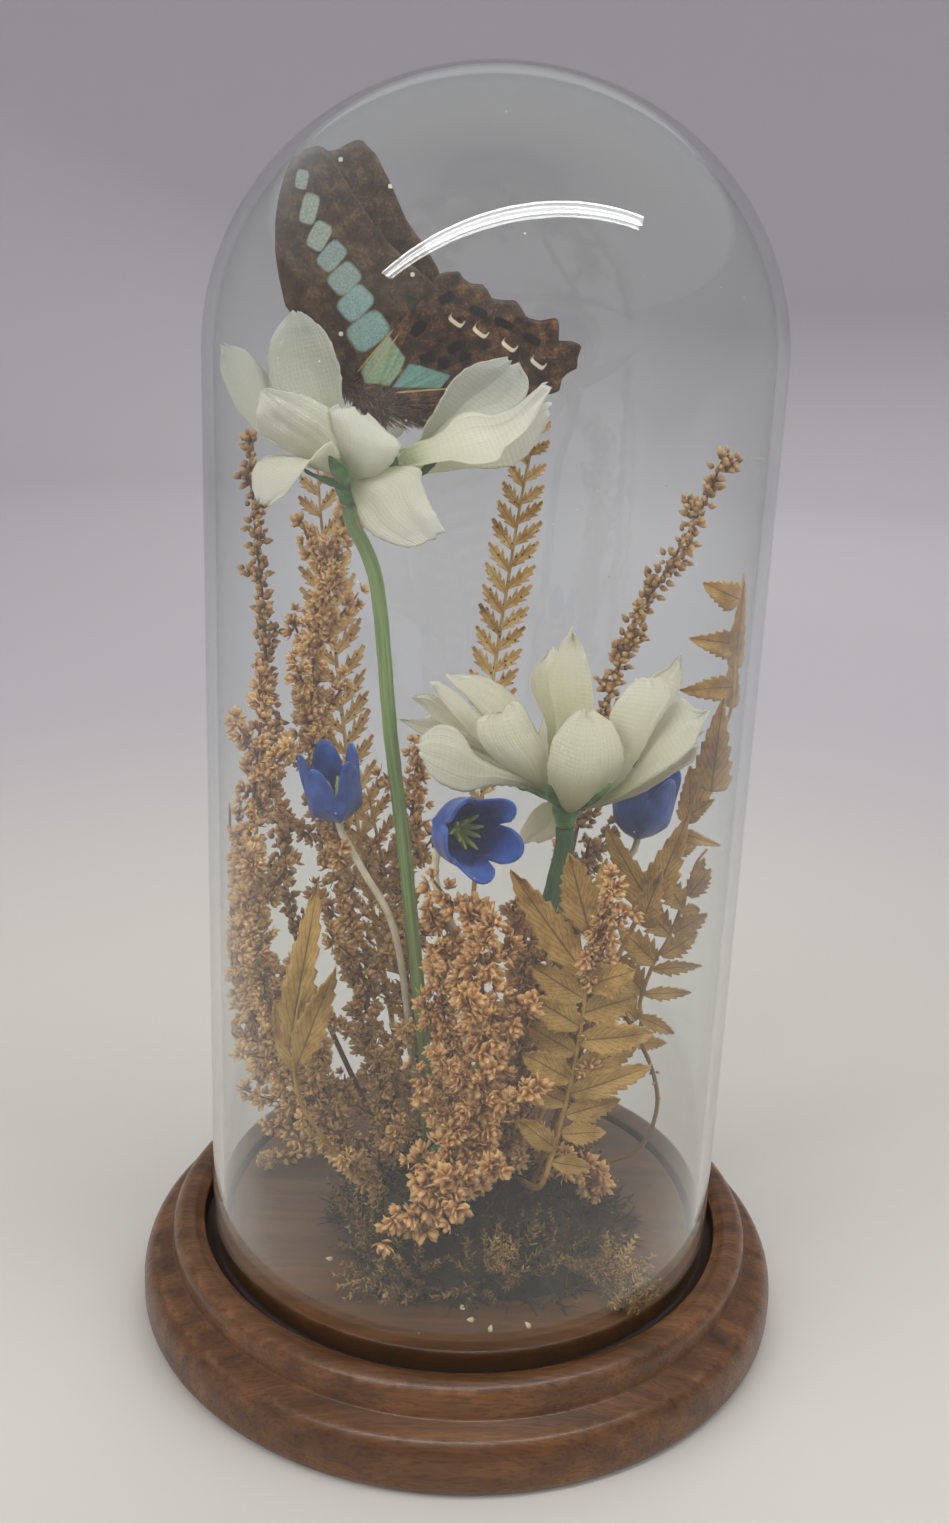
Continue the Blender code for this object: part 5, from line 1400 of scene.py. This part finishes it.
def tapered_stem(points, foot, spacing, thick, thinning, sides):
    """A stem that thins from its foot in the moss to its tip, and its frames in that order."""
    route = smooth_route(planted(points, foot)[::-1], spacing)
    last = len(route) - 1
    radii = [thick - thinning * index / last for index in range(last + 1)]
    return limb(route, radii, sides), frames_along(route)


def frond(
    points, foot, facing, pairs=0, stalk=0.5, reach=6, cut="lobed", half=1.8, lean=0.9, leaves=(), seed=0
):
    """A whole frond: the rib with pairs of leaflets that lean up it, or with its own measured ones."""
    bm, frames = tapered_stem(points, foot, 1.0, 0.6, 0.42, 7)
    last = len(frames) - 1
    for pair in range(pairs):
        for side in (-1, 1):
            shift = 0.25 * side
            share = (pair + 0.5 + shift * 0.6) / pairs
            place, along = frames[min(last, round((stalk + (1 - stalk) * share) * last))][:2]
            sideways = along.cross(Vector(facing)).normalized()
            face = sideways.cross(along)
            size = reach * min(1.0, 0.45 + 2.2 * share) * min(1.0, 0.5 + 1.6 * (1 - share))
            axis = (sideways * side + along * lean).normalized()
            tilt = face * (0.12 if (pair + (side > 0)) % 2 else -0.12)
            axis = (axis + tilt).normalized()
            across = (along - axis * along.dot(axis)).normalized()
            length = size * math.hypot(1, lean)
            wide = half * min(1.0, 0.5 + 0.5 * size / reach)
            join(bm, leaflet(place, axis, across, face, length, wide, cut, seed + pair + 0.37 * side))
    for count, (root, tip, wide) in enumerate(leaves):
        axis = Vector(tip) - Vector(root)
        across = axis.cross(Vector(facing)).normalized()
        face = across.cross(axis).normalized()
        blade = leaflet(Vector(root), axis.normalized(), across, face, axis.length, wide, cut, seed + count)
        join(bm, blade)
    return bm


def dry_frond(name, tones, sori):
    """Dried fern: thin enough to glow, veined, with dark dots of sori if it has any."""
    finish, tree, shader = new_finish(name)
    place = coordinates(tree)
    blotch = grain(tree, place, 4, 6, 0.65)
    colour = ramp(tree, blotch, (0.36, tones[0]), (0.66, tones[2]), (0.5, tones[1]))
    sheet = coordinates(tree, "UV")
    aside = maths(tree, "ABSOLUTE", maths(tree, "SUBTRACT", axis_of(tree, sheet, "X"), 0.5))
    slant = maths(tree, "MULTIPLY_ADD", aside, -0.55, axis_of(tree, sheet, "Y"))
    ridge = maths(tree, "PINGPONG", maths(tree, "MULTIPLY", slant, 2.0 * VEIN_PAIRS), 1.0)
    side_veins, midrib = ranged(tree, ridge, 0.0, 0.4, 0.5), ranged(tree, aside, 0.012, 0.045, 0.15)
    lines = maths(tree, "MINIMUM", side_veins, midrib)
    veined = blended(tree, lines, linear("8A6434"), colour)
    if sori:
        dots = add(tree, "TexVoronoi", {"Vector": place, "Scale": 1 / (1.3 * MM), "Randomness": 0.8})
        veined = paint(tree, veined, "6B451F", [ranged(tree, dots.outputs["Distance"], 0.22, 0.14)])
    normal = bumps(tree, lines, 0.5, 0.2)
    connect(tree, shader, {"Base Color": veined, "Roughness": 0.7, "Normal": normal})
    glowing(tree, shader, 0.55, veined)
    return finish


# Each frond: its rib from the tip down, where that enters the moss, which way it faces, and either
# how its pairs of leaflets grow or each leaflet by its root, tip and half width.
FERNS = {
    "back_right": {
        "points": [(8, 12, 174), (6, 13, 161), (4, 13, 143), (2, 11, 124), (1, 9, 103), (0, 7, 72)],
        "foot": (1, 4), "facing": (0, -1, 0), "pairs": 18, "reach": 4.6, "half": 1.75, "lean": 1.1,
    },
    "right_edge": {
        "points": [
            (45.5, -5.5, 153), (45.5, -5.5, 148), (45.5, -6, 141), (45.5, -6, 134.5), (45.5, -6, 128.5),
            (43.5, -6, 122), (41, -6, 115), (39.5, -6, 108), (37, -6, 100), (33.5, -6, 91), (30, -6, 83),
        ],
        "foot": (13, -2), "facing": (-0.3, -1, 0), "cut": "fan",
        "leaves": [
            ((45.5, -5.5, 148), (38.5, -4, 150.5), 3.7), ((45.5, -5.5, 140), (36.5, -9, 141.5), 3.7),
            ((45.5, -5.5, 132), (36, -4, 130.5), 3.3), ((45.5, -5.5, 135.5), (45, -8.5, 152), 2.2),
            ((45.5, -5.5, 128), (45.5, -4, 140.5), 2.2), ((43, -6, 112), (43, -9, 130.5), 4.8),
            ((40.5, -6, 109), (45.5, -4, 119.5), 2.2), ((39.5, -6, 107.5), (43, -9, 111.5), 2),
            ((39.5, -6, 105.5), (39, -4, 116), 3), ((38.5, -6, 103.5), (45, -9, 102.5), 1.9),
            ((37.5, -6, 100), (42.5, -4, 101.5), 2.2), ((34, -6, 90.5), (38.5, -9, 108), 4.4),
            ((33.5, -6, 89), (24, -4, 103), 4.4), ((32, -6, 84.5), (34.5, -9, 97), 4.1),
        ],
    },
    "right_low": {
        "points": [
            (45.5, 5, 96), (43.5, 5, 93), (42.5, 5, 89), (41, 5, 83), (39, 5, 76.5), (36.5, 5, 71),
            (34.5, 5, 63), (33.5, 5, 53.5),
        ],
        "foot": (15, 4), "facing": (0, -1, 0.3), "cut": "broad",
        "leaves": [
            ((43, 5, 88), (45.5, 6.5, 93.5), 1.9), ((42.5, 5, 86), (46, 2, 93), 3),
            ((41, 5, 82.5), (45.5, 6.5, 82.5), 2), ((40, 5, 78), (46, 2, 83.5), 3.1),
            ((38, 5, 73), (45.5, 7, 77), 3.1), ((36.5, 5, 70), (46, 2, 72.5), 2),
            ((35, 5, 64.5), (45.5, 7, 64), 1.9), ((34.5, 5, 59.5), (41.5, 2, 57.5), 2.2),
            ((34.5, 5, 53.5), (41, 7, 52.5), 1.9), ((41.5, 5, 83.5), (36, 2, 92), 3.3),
            ((39.5, 5, 77.5), (32.5, 7, 84), 3.9), ((37, 5, 71.5), (29, 2, 80), 4.1),
            ((35, 5, 64.5), (29, 7, 72), 4.1), ((34, 5, 58.5), (27.5, 2, 68), 3.3),
        ],
    },
    "front": {
        "points": [
            (22.5, -25, 101.5), (22, -25, 97.5), (21, -25, 91), (20.5, -25, 84.5), (20.5, -25, 78),
            (20, -25, 70), (19, -25, 61.5), (18, -25, 55), (16.5, -25, 46.5), (14.5, -25, 39),
        ],
        "foot": (11, -16), "facing": (0, -1, 0.3), "cut": "veined",
        "leaves": [
            ((20.5, -25, 83), (6.5, -23, 101.5), 4.1), ((20.5, -25, 92), (16, -28, 107.5), 4.4),
            ((21.5, -25, 96), (23, -23, 105), 2), ((20.5, -25, 81), (28.5, -28, 86), 4.1),
            ((20, -25, 75.5), (30, -23, 78.5), 4.3), ((20, -25, 70), (32.5, -28, 73.5), 4.1),
            ((19.5, -25, 64), (30.5, -23, 68), 4.1), ((19, -25, 59), (32.5, -28, 66.5), 3.5),
            ((18.5, -25, 54.5), (28.5, -23, 57), 3.3), ((18, -25, 50.5), (25.5, -28, 53), 2.8),
            ((20.5, -25, 78.5), (11, -23, 83.5), 3.9), ((20, -25, 73), (11, -28, 80), 4.1),
            ((19.5, -25, 67.5), (11, -23, 71.5), 4.1), ((19, -25, 62), (10, -28, 68.5), 3.9),
            ((18.5, -25, 57), (10, -23, 60), 3.5), ((17, -25, 47.5), (10, -28, 54.5), 3),
            ((16.5, -25, 44.5), (24, -23, 42), 2.6),
        ],
    },
    "left_leaf": {
        "points": [
            (-30, -21, 76.5), (-31, -21, 71.5), (-31.5, -21, 65.5), (-31.5, -21, 58.5), (-30, -20, 51),
            (-26.5, -18, 43.5), (-22.5, -16, 37),
        ],
        "foot": (-14, -14), "facing": (0, -1, 0.2), "cut": "veined",
        "leaves": [
            ((-32.5, -21, 64), (-28, -19, 95.5), 3.7), ((-31, -21, 60.5), (-24.5, -24, 81), 3.7),
            ((-31, -21, 59), (-35.5, -19, 72), 2.8),
        ],
    },
    "back_left": {
        "points": [
            (-32, 12, 168), (-31, 14, 153), (-29, 15, 136), (-27, 15, 118), (-24, 14, 98), (-17, 11, 62),
        ],
        "foot": (-10, 7), "facing": (0.2, -1, 0), "pairs": 22, "stalk": 0.3, "reach": 5.6, "half": 1.9,
        "lean": 1.1,
    },
    "middle_left": {
        "points": [(-21, 5, 106), (-18, 6, 91), (-15, 7, 76), (-12, 7, 58)],
        "foot": (-5, 6), "facing": (0, -1, 0), "pairs": 12, "stalk": 0.3, "reach": 5.8, "half": 1.8,
        "lean": 1.1,
    },
}
SPORED = dry_frond("dried_fern_with_sori", ("D0A860", "EACB88", "F8E4AE"), True)
BROAD = dry_frond("dried_broad_fern", ("BC9448", "D8B362", "E6C67C"), False)
for count, (name, fern) in enumerate(FERNS.items()):
    finish = BROAD if "cut" in fern else SPORED
    shape = frond(**fern, seed=7 * count)
    thicken(add_piece(f"frond_{name}", shape, "dry_fern", [f"fern_{name}"], finish), LEAFLET_THICKNESS)


# The seed plumes.
# Fourteen dried flower spikes in tan and brown. Short side twigs crowd round each stem, and every twig
# carries small dry florets: round buds on the spikes, open stars of bracts on the others.


def bud(seed):
    """A closed floret: a plump drop, pinched at its tip."""
    draw = random.Random(seed)
    bend = Vector((draw.uniform(-0.2, 0.2), draw.uniform(-0.2, 0.2), 0))
    route = [Vector((0, 0, 0)), Vector((0, 0, 0.5)), Vector((0, 0, 1.3)) + bend, Vector((0, 0, 2.2)) + bend]
    return small_mesh(pale_tips(limb(route, [0.3, 0.75, 0.62, 0.12], 7), 2.2))


def star(seed):
    """An open floret: eight slim papery bracts, cupped and pointed, that spread round a small heart."""
    draw = random.Random(seed)
    bm = bmesh.new()
    for bract in range(8):
        turn = bract * NEXT_LEAF + draw.uniform(-0.3, 0.3)
        lean = Vector((math.cos(turn), math.sin(turn), 0.1 + 0.28 * bract))
        half = draw.uniform(0.8, 1.2)
        blade = bmesh.ops.create_uvsphere(bm, u_segments=4, v_segments=3, radius=1)["verts"]
        for vert in blade:
            x, y, z = vert.co
            vert.co = Vector((0.56 * x, 0.12 * y + 0.35 * z * z, half * (z + 1)))
        bmesh.ops.transform(bm, matrix=facing((0, 0, 0), lean, draw.uniform(-0.4, 0.4), 1.0), verts=blade)
    return small_mesh(pale_tips(bm, 2.0))


def pale_tips(bm, reach):
    """Notes how far each point is from a floret's heart, 0 to 1, for its colour."""
    tip = bm.verts.layers.float.new("tip")
    for vert in bm.verts:
        vert[tip] = min(1.0, vert.co.length / reach)
    return bm


BUDS = [bud(seed) for seed in range(6)]
STARS = [star(seed) for seed in range(8)]
# How far apart florets sit along a twig, and how much room they leave before the glass, in mm.
STAR_GAP, BUD_GAP = 0.95, 0.48
FLORET_ROOM = 2.2


def crowd(bm, route, radius, spacing, florets, size, draw):
    """Covers a twig with florets: they sit round it and lean toward its tip."""
    turn = draw.uniform(0, 6.3)
    reach = 0.0
    for (place, along, across), after in zip(frames_along(route), [*route[1:], None]):
        reach += (after - place).length if after else spacing
        while reach >= spacing:
            reach -= spacing
            turn += NEXT_LEAF
            out = around(across, along, turn)
            spread = draw.uniform(0.2, 1.0) * radius
            lean = out * draw.uniform(0.5, 1.3) + along * draw.uniform(0.3, 1.0)
            spot = place + out * spread + along * draw.uniform(-0.5, 0.5) * spacing
            grown = size * draw.uniform(0.75, 1.2)
            if math.hypot(spot.x, spot.y) < INSIDE_RADIUS - FLORET_ROOM:
                stamp(bm, draw.choice(florets), facing(spot, lean, draw.uniform(0, 6.3), grown))


def seed_plume(points, foot, twigs, twig_length, thickness, bare=0.35, kind="star", size=1.0, seed=0):
    """A stem with crowded side twigs: long ones where the plume branches, short ones all along."""
    draw = random.Random(seed)
    florets, packed = (STARS, STAR_GAP) if kind == "star" else (BUDS, BUD_GAP)
    bm, frames = tapered_stem(points, foot, 1.2, 0.6, 0.35, 6)
    last = len(frames) - 1
    bm.verts.layers.float.new("tip")
    first = math.ceil(bare * last)
    for count in range(2 * twigs - 1):
        station = first + round((last - 3 - first) * count / max(1, 2 * twigs - 2))
        place, along, across = frames[station]
        turn = math.radians(36 * (2 * count + 1) + 180 * (count % 2))
        out = Matrix.Rotation(turn, 3, along) @ across
        reach = (twig_length * (1.2 - 0.6 * station / last) + thickness) * (0.85 if count % 2 else 1)
        rising = [(out + along * (0.35 + 0.08 * step)) * reach * step / 8 for step in range(9)]
        twig = [kept_inside(place + rise) for rise in rising]
        join(bm, limb(twig, [0.25] * 8 + [0.12], 4))
        crowd(bm, twig[1:], 1.1 * size, packed * size, florets, size, draw)
    turn = 0.0
    for index in range(first, last):
        share = index / last
        grown = min(1.0, max(0.1, (share - bare) / 0.12)) * min(1.0, 6 * (1.04 - share))
        place, along, across = frames[index]
        for shoot in range(2 if index % 2 else 1):
            turn += NEXT_LEAF + draw.uniform(-0.4, 0.4)
            out = around(across, along, turn)
            reach = max(0.7, thickness * (1.3 - 0.6 * share) * grown * draw.uniform(0.75, 1.35))
            rising = [out * 0.4, (out + along * 0.45) * reach * 0.6, (out + along) * reach]
            twig = [kept_inside(place + rise) for rise in rising]
            crowd(bm, twig, 0.6 * size, 1.8 * packed * size, florets, size, draw)
    for vert in bm.verts:
        vert.co = kept_inside(vert.co, 0.6)
    return bm


def dry_florets(name, dark, middle, pale):
    """Papery dried florets: brown at the heart, tan at the tips, each bunch its own shade."""
    finish, tree, shader = new_finish(name)
    place = coordinates(tree)
    tip = add(tree, "Attribute", {}, attribute_name="tip").outputs["Fac"]
    mottle = mixed(tree, 0.5, grain(tree, place, 1.6, 1), grain(tree, place, 9, 3))
    shade = mixed(tree, 0.55, mottle, tip)
    colour = ramp(tree, shade, (0.2, "986E3C"), (0.8, pale), (0.31, dark), (0.52, middle))
    connect(tree, shader, {"Base Color": colour, "Roughness": 0.85})
    glowing(tree, shader, 0.5, colour)
    return finish


# Each plume: its stem from the tip down, where that enters the moss, its number of side twigs and their
# length, how thick it is in mm, and the share of the stem that is bare.
PLUMES = {
    "left_spike": {
        "points": [
            (-43, 2, 173), (-42.5, 3, 160), (-41, 4, 142), (-40, 5, 120), (-38, 5, 98), (-33, 3, 70),
        ],
        "foot": (-14, -3), "twigs": 9, "twig_length": 1.8, "thickness": 1.3, "kind": "bud", "size": 0.75,
    },
    "bushy": {
        "points": [
            (-25, 1, 162), (-27, 1, 153), (-30, 0, 140), (-31, -1, 124), (-28, -2, 104), (-22, -4, 76),
        ],
        "foot": (-13, -7), "twigs": 13, "twig_length": 7.5, "thickness": 2.3, "bare": 0.04,
    },
    "left_side": {
        "points": [(-39, -8, 128), (-40, -10, 114), (-41, -12, 98), (-40, -13, 81), (-35, -13, 62)],
        "foot": (-18, -10), "twigs": 9, "twig_length": 8, "thickness": 2.2, "bare": 0.05,
    },
    "right_spike": {
        "points": [
            (43, 9, 172), (39.5, 11, 161), (34.5, 14, 149), (29, 17, 137), (25, 18, 120), (21, 15, 100),
            (16, 8, 70),
        ],
        "foot": (9, 3), "twigs": 8, "twig_length": 2.6, "thickness": 1.5, "bare": 0.45, "kind": "bud",
        "size": 0.78,
    },
    "behind_stem": {
        "points": [(-11.5, 5, 117), (-12, 5, 104), (-14, 4, 86), (-12, 2, 66)],
        "foot": (-4.5, 1), "twigs": 8, "twig_length": 6.5, "thickness": 2, "bare": 0.03, "size": 0.9,
    },
    "dark": {
        "points": [(22, 1, 99), (19, 0, 86), (15, -1, 72), (11, -3, 56)],
        "foot": (7, -4.5), "twigs": 6, "twig_length": 6.5, "thickness": 2, "bare": 0.15,
    },
    "front_right": {
        "points": [(24, -28, 104), (23.5, -26, 93), (22, -22, 80), (19, -21, 60)],
        "foot": (13, -18), "twigs": 5, "twig_length": 2.5, "thickness": 2,
    },
    "centre": {
        "points": [(1, -25, 97), (2, -28, 84), (3, -29, 70), (3, -27, 55)],
        "foot": (3, -20), "twigs": 7, "twig_length": 8.5, "thickness": 3, "bare": 0.15, "size": 1.15,
    },
    "centre_right": {
        "points": [(9, -15, 91), (10, -17, 80), (10, -18, 66), (9, -18, 52)],
        "foot": (6.5, -15), "twigs": 5, "twig_length": 6, "thickness": 2.6, "bare": 0.03,
    },
    "centre_left": {
        "points": [(-6, -18, 92), (-5.5, -20, 80), (-4, -21, 67), (-2.5, -20, 53)],
        "foot": (-1.5, -16), "twigs": 5, "twig_length": 4.5, "thickness": 2, "bare": 0.2,
    },
    "low_front": {
        "points": [(-8, -36, 36), (-6, -34, 41), (-3, -30, 45), (-1, -26, 42)],
        "foot": (0, -24), "twigs": 4, "twig_length": 5, "thickness": 2.6, "bare": 0.25, "size": 1.3,
    },
    "low_right": {
        "points": [(28, -15, 33), (23, -15, 36), (18, -14.5, 38.5)],
        "foot": (14, -12), "twigs": 3, "twig_length": 1.6, "thickness": 1.5, "bare": 0.1, "size": 1.15,
    },
    "left_low": {
        "points": [(-44, -5, 95), (-44, -7, 82), (-42, -9, 68), (-35, -10, 52)],
        "foot": (-20, -6), "twigs": 7, "twig_length": 7.5, "thickness": 2.2, "bare": 0.22,
    },
    "low_left": {
        "points": [(-43, 3, 46), (-38, 2, 47), (-32, 1, 44), (-25, 0, 38)],
        "foot": (-18, -1), "twigs": 2, "twig_length": 3, "thickness": 1.5, "bare": 0.6,
    },
}
TAN = dry_florets("dried_tan_florets", "A67A3E", "E9BF7E", "FBE2AA")
BROWN = dry_florets("dried_brown_buds", "88663A", "CCA468", "ECCC94")
PINK_TAN = dry_florets("dried_rosy_florets", "A2743E", "E8B878", "FADCA2")
TONES = {name: BROWN for name in ("left_spike", "right_spike", "dark")}
TONES |= {name: PINK_TAN for name in ("centre", "centre_left", "low_front", "low_right", "front_right")}
for count, (name, stalk) in enumerate(PLUMES.items()):
    shape = seed_plume(**stalk, seed=31 + count)
    add_piece(f"spray_{name}", shape, "dry_plume", [f"plume_{name}"], TONES.get(name, TAN))


# The loose stems.
# A bare curling stem still held in the moss, a fallen string of seeds that ends in a round fuzzy bud,
# and a few single seeds that dropped on the moss and the platform.

BARE_STEM = [(27, 2, 68), (33, 3, 58), (38, 3, 48), (39, 1, 40), (35, -1, 32)]
BUD_STRING = [(-42, 7, 21), (-40, 9, 21), (-36, 11, 20), (-31, 14, 20.2), (-26, 16, 20), (-20, 19, 20)]
FALLEN_SEEDS = [(0.2, -21.4), (0.8, -34.7), (3.2, -37.9), (13.3, -39.3), (-13.7, -33), (6, -41), (-24, -22)]

route = smooth_route(planted(BARE_STEM, (23.0, -2.0)), 1.0)
bare = limb(route, [0.45] * len(route), 7)
crowd(bare, route[: len(route) // 2], 0.7, 1.6, BUDS, 0.45, random.Random(3))
add_piece("curled_bare_stem", bare, "dry_plume", ["bare_stem"], BROWN)
route = smooth_route(BUD_STRING, 1.0)
string = limb(route, [0.4] * len(route), 6)
crowd(string, route, 0.9, 0.6, BUDS, 0.7, random.Random(4))
crowd(string, route[:4], 1.5, 0.12, STARS, 0.6, random.Random(5))
add_piece("fallen_string", string, "dry_plume", ["fallen_bud_string"], TAN)

draw = random.Random(12)
seeds = bmesh.new()
for x, y in FALLEN_SEEDS:
    level = Vector((draw.uniform(-1, 1), draw.uniform(-1, 1), 0.15))
    on_moss = mound_height(x, y) > BASE_HEIGHT + 1
    place = (x, y, mound_height(x, y) + 1.5 if on_moss else BASE_HEIGHT + 0.45)
    stamp(seeds, BUDS[0], facing(place, level, 0, 0.62))
PALE_SEEDS = dry_florets("dried_pale_seeds", "C9B68E", "E6D9BA", "F4ECD6")
add_piece("fallen_seeds", seeds, "dry_plume", [], PALE_SEEDS)


# The studio.
# A pale floor that fades to grey and bends up into a wall, a tube lamp, soft lamps, and the camera of
# the photograph.

FLOOR_RADIUS = 900.0
WALL_BEND = 300.0
WALL_HEIGHT = 700.0
FADE_REACH = (170 * MM, 420 * MM)

finish, tree, shader = new_finish("pale_studio_floor")
away = vector_maths(tree, "LENGTH", coordinates(tree))
fade = ranged(tree, away, *FADE_REACH, 0.0, 1.0, "SMOOTHSTEP")
pale = blended(tree, fade, linear("C2BEB7"), linear("B4B1B4"))
connect(tree, shader, {"Base Color": pale, "Roughness": 0.7})
bend = arc((FLOOR_RADIUS, WALL_BEND), (WALL_BEND, WALL_BEND), -90, 0, 12)
sweep = [(0.01, 0), (FLOOR_RADIUS, 0), *bend, (FLOOR_RADIUS + WALL_BEND, WALL_HEIGHT)]
floor_mesh = turned(sweep, 96)
bmesh.ops.reverse_faces(floor_mesh, faces=floor_mesh.faces)
floor = added("studio_floor", mesh_of("studio_floor", floor_mesh, finish))


def lamp(name, power, size, place, target):
    """A soft rectangular lamp in the studio, turned to what it lights; sizes and places in mm."""
    data = bpy.data.lights.new(name, "AREA")
    data.shape = "RECTANGLE"
    data.size = size[0] * MM
    data.size_y = size[1] * MM
    data.energy = power
    made = added(name, data)
    made.location = Vector(place) * MM
    aim = Vector(target) - Vector(place)
    made.rotation_euler = aim.to_track_quat("-Z", "Y").to_euler()
    return made


# A tube lamp overhead: its reflection is the bright arc on the shoulder of the dome. Its strips are
# given by how far aside each lies, its width and its power; the soft lamps by place and power.
TUBE_ENDS = (Vector((-479, -434, 600)), Vector((373, -77, 600)))
TUBE_LENGTH = 924
TUBE_STRIPS = [(0, 40, 0.8), (-19, 6, 0.45), (16, 8, 0.5)]
SOFT_LAMPS = [((-750, -550, 520), 6.2), ((800, -350, 480), 4.2), ((150, 800, 620), 3.4)]
SOFT_LAMP_SIZE = (800, 800)
run = (TUBE_ENDS[1] - TUBE_ENDS[0]).normalized()
down = Vector((0, 0, -1))
aside = down.cross(run)
for offset, width, power in TUBE_STRIPS:
    middle = (TUBE_ENDS[0] + TUBE_ENDS[1]) / 2 + aside * offset - down * (offset != 0)
    tube_lamp = lamp("tube_lamp", power, (TUBE_LENGTH, width), middle, (0, 0, 0))
    tube_lamp.rotation_euler = Matrix((run, -aside, -down)).transposed().to_euler()
for place, power in SOFT_LAMPS:
    soft_lamp = lamp("soft_lamp", power, SOFT_LAMP_SIZE, place, (0, 0, 110))
    soft_lamp.visible_glossy = False
    soft_lamp.visible_transmission = False

world = bpy.context.scene.world or bpy.data.worlds.new("studio")
bpy.context.scene.world = world
world.use_nodes = True
sky = world.node_tree.nodes["Background"]
sky.inputs["Color"].default_value = linear("D9D8DC")
sky.inputs["Strength"].default_value = 0.62
bpy.context.scene.view_settings.view_transform = "Standard"

# The camera stands a little above the flowers and looks down; it leans by the photograph's small roll.
CAMERA_PLACE = Vector((-1.905, -298.547, 220.621))
PITCH, YAW, ROLL = 0.344, 0.004, 0.041
PHOTO_SIZE = (949, 1523)
FOCAL_PIXELS = 1699.6
data = bpy.data.cameras.new("studio_camera")
data.sensor_width = 36.0
data.lens = FOCAL_PIXELS / max(PHOTO_SIZE) * data.sensor_width
data.clip_start = 0.01
camera = added("studio_camera", data)
ahead = Vector((math.sin(YAW) * math.cos(PITCH), math.cos(YAW) * math.cos(PITCH), -math.sin(PITCH)))
level = Vector((math.cos(YAW), -math.sin(YAW), 0))
upward = level.cross(ahead)
right = level * math.cos(ROLL) + upward * math.sin(ROLL)
camera.matrix_world = Matrix.LocRotScale(
    CAMERA_PLACE * MM, Matrix((right, right.cross(ahead), -ahead)).transposed(), None
)
bpy.context.scene.camera = camera
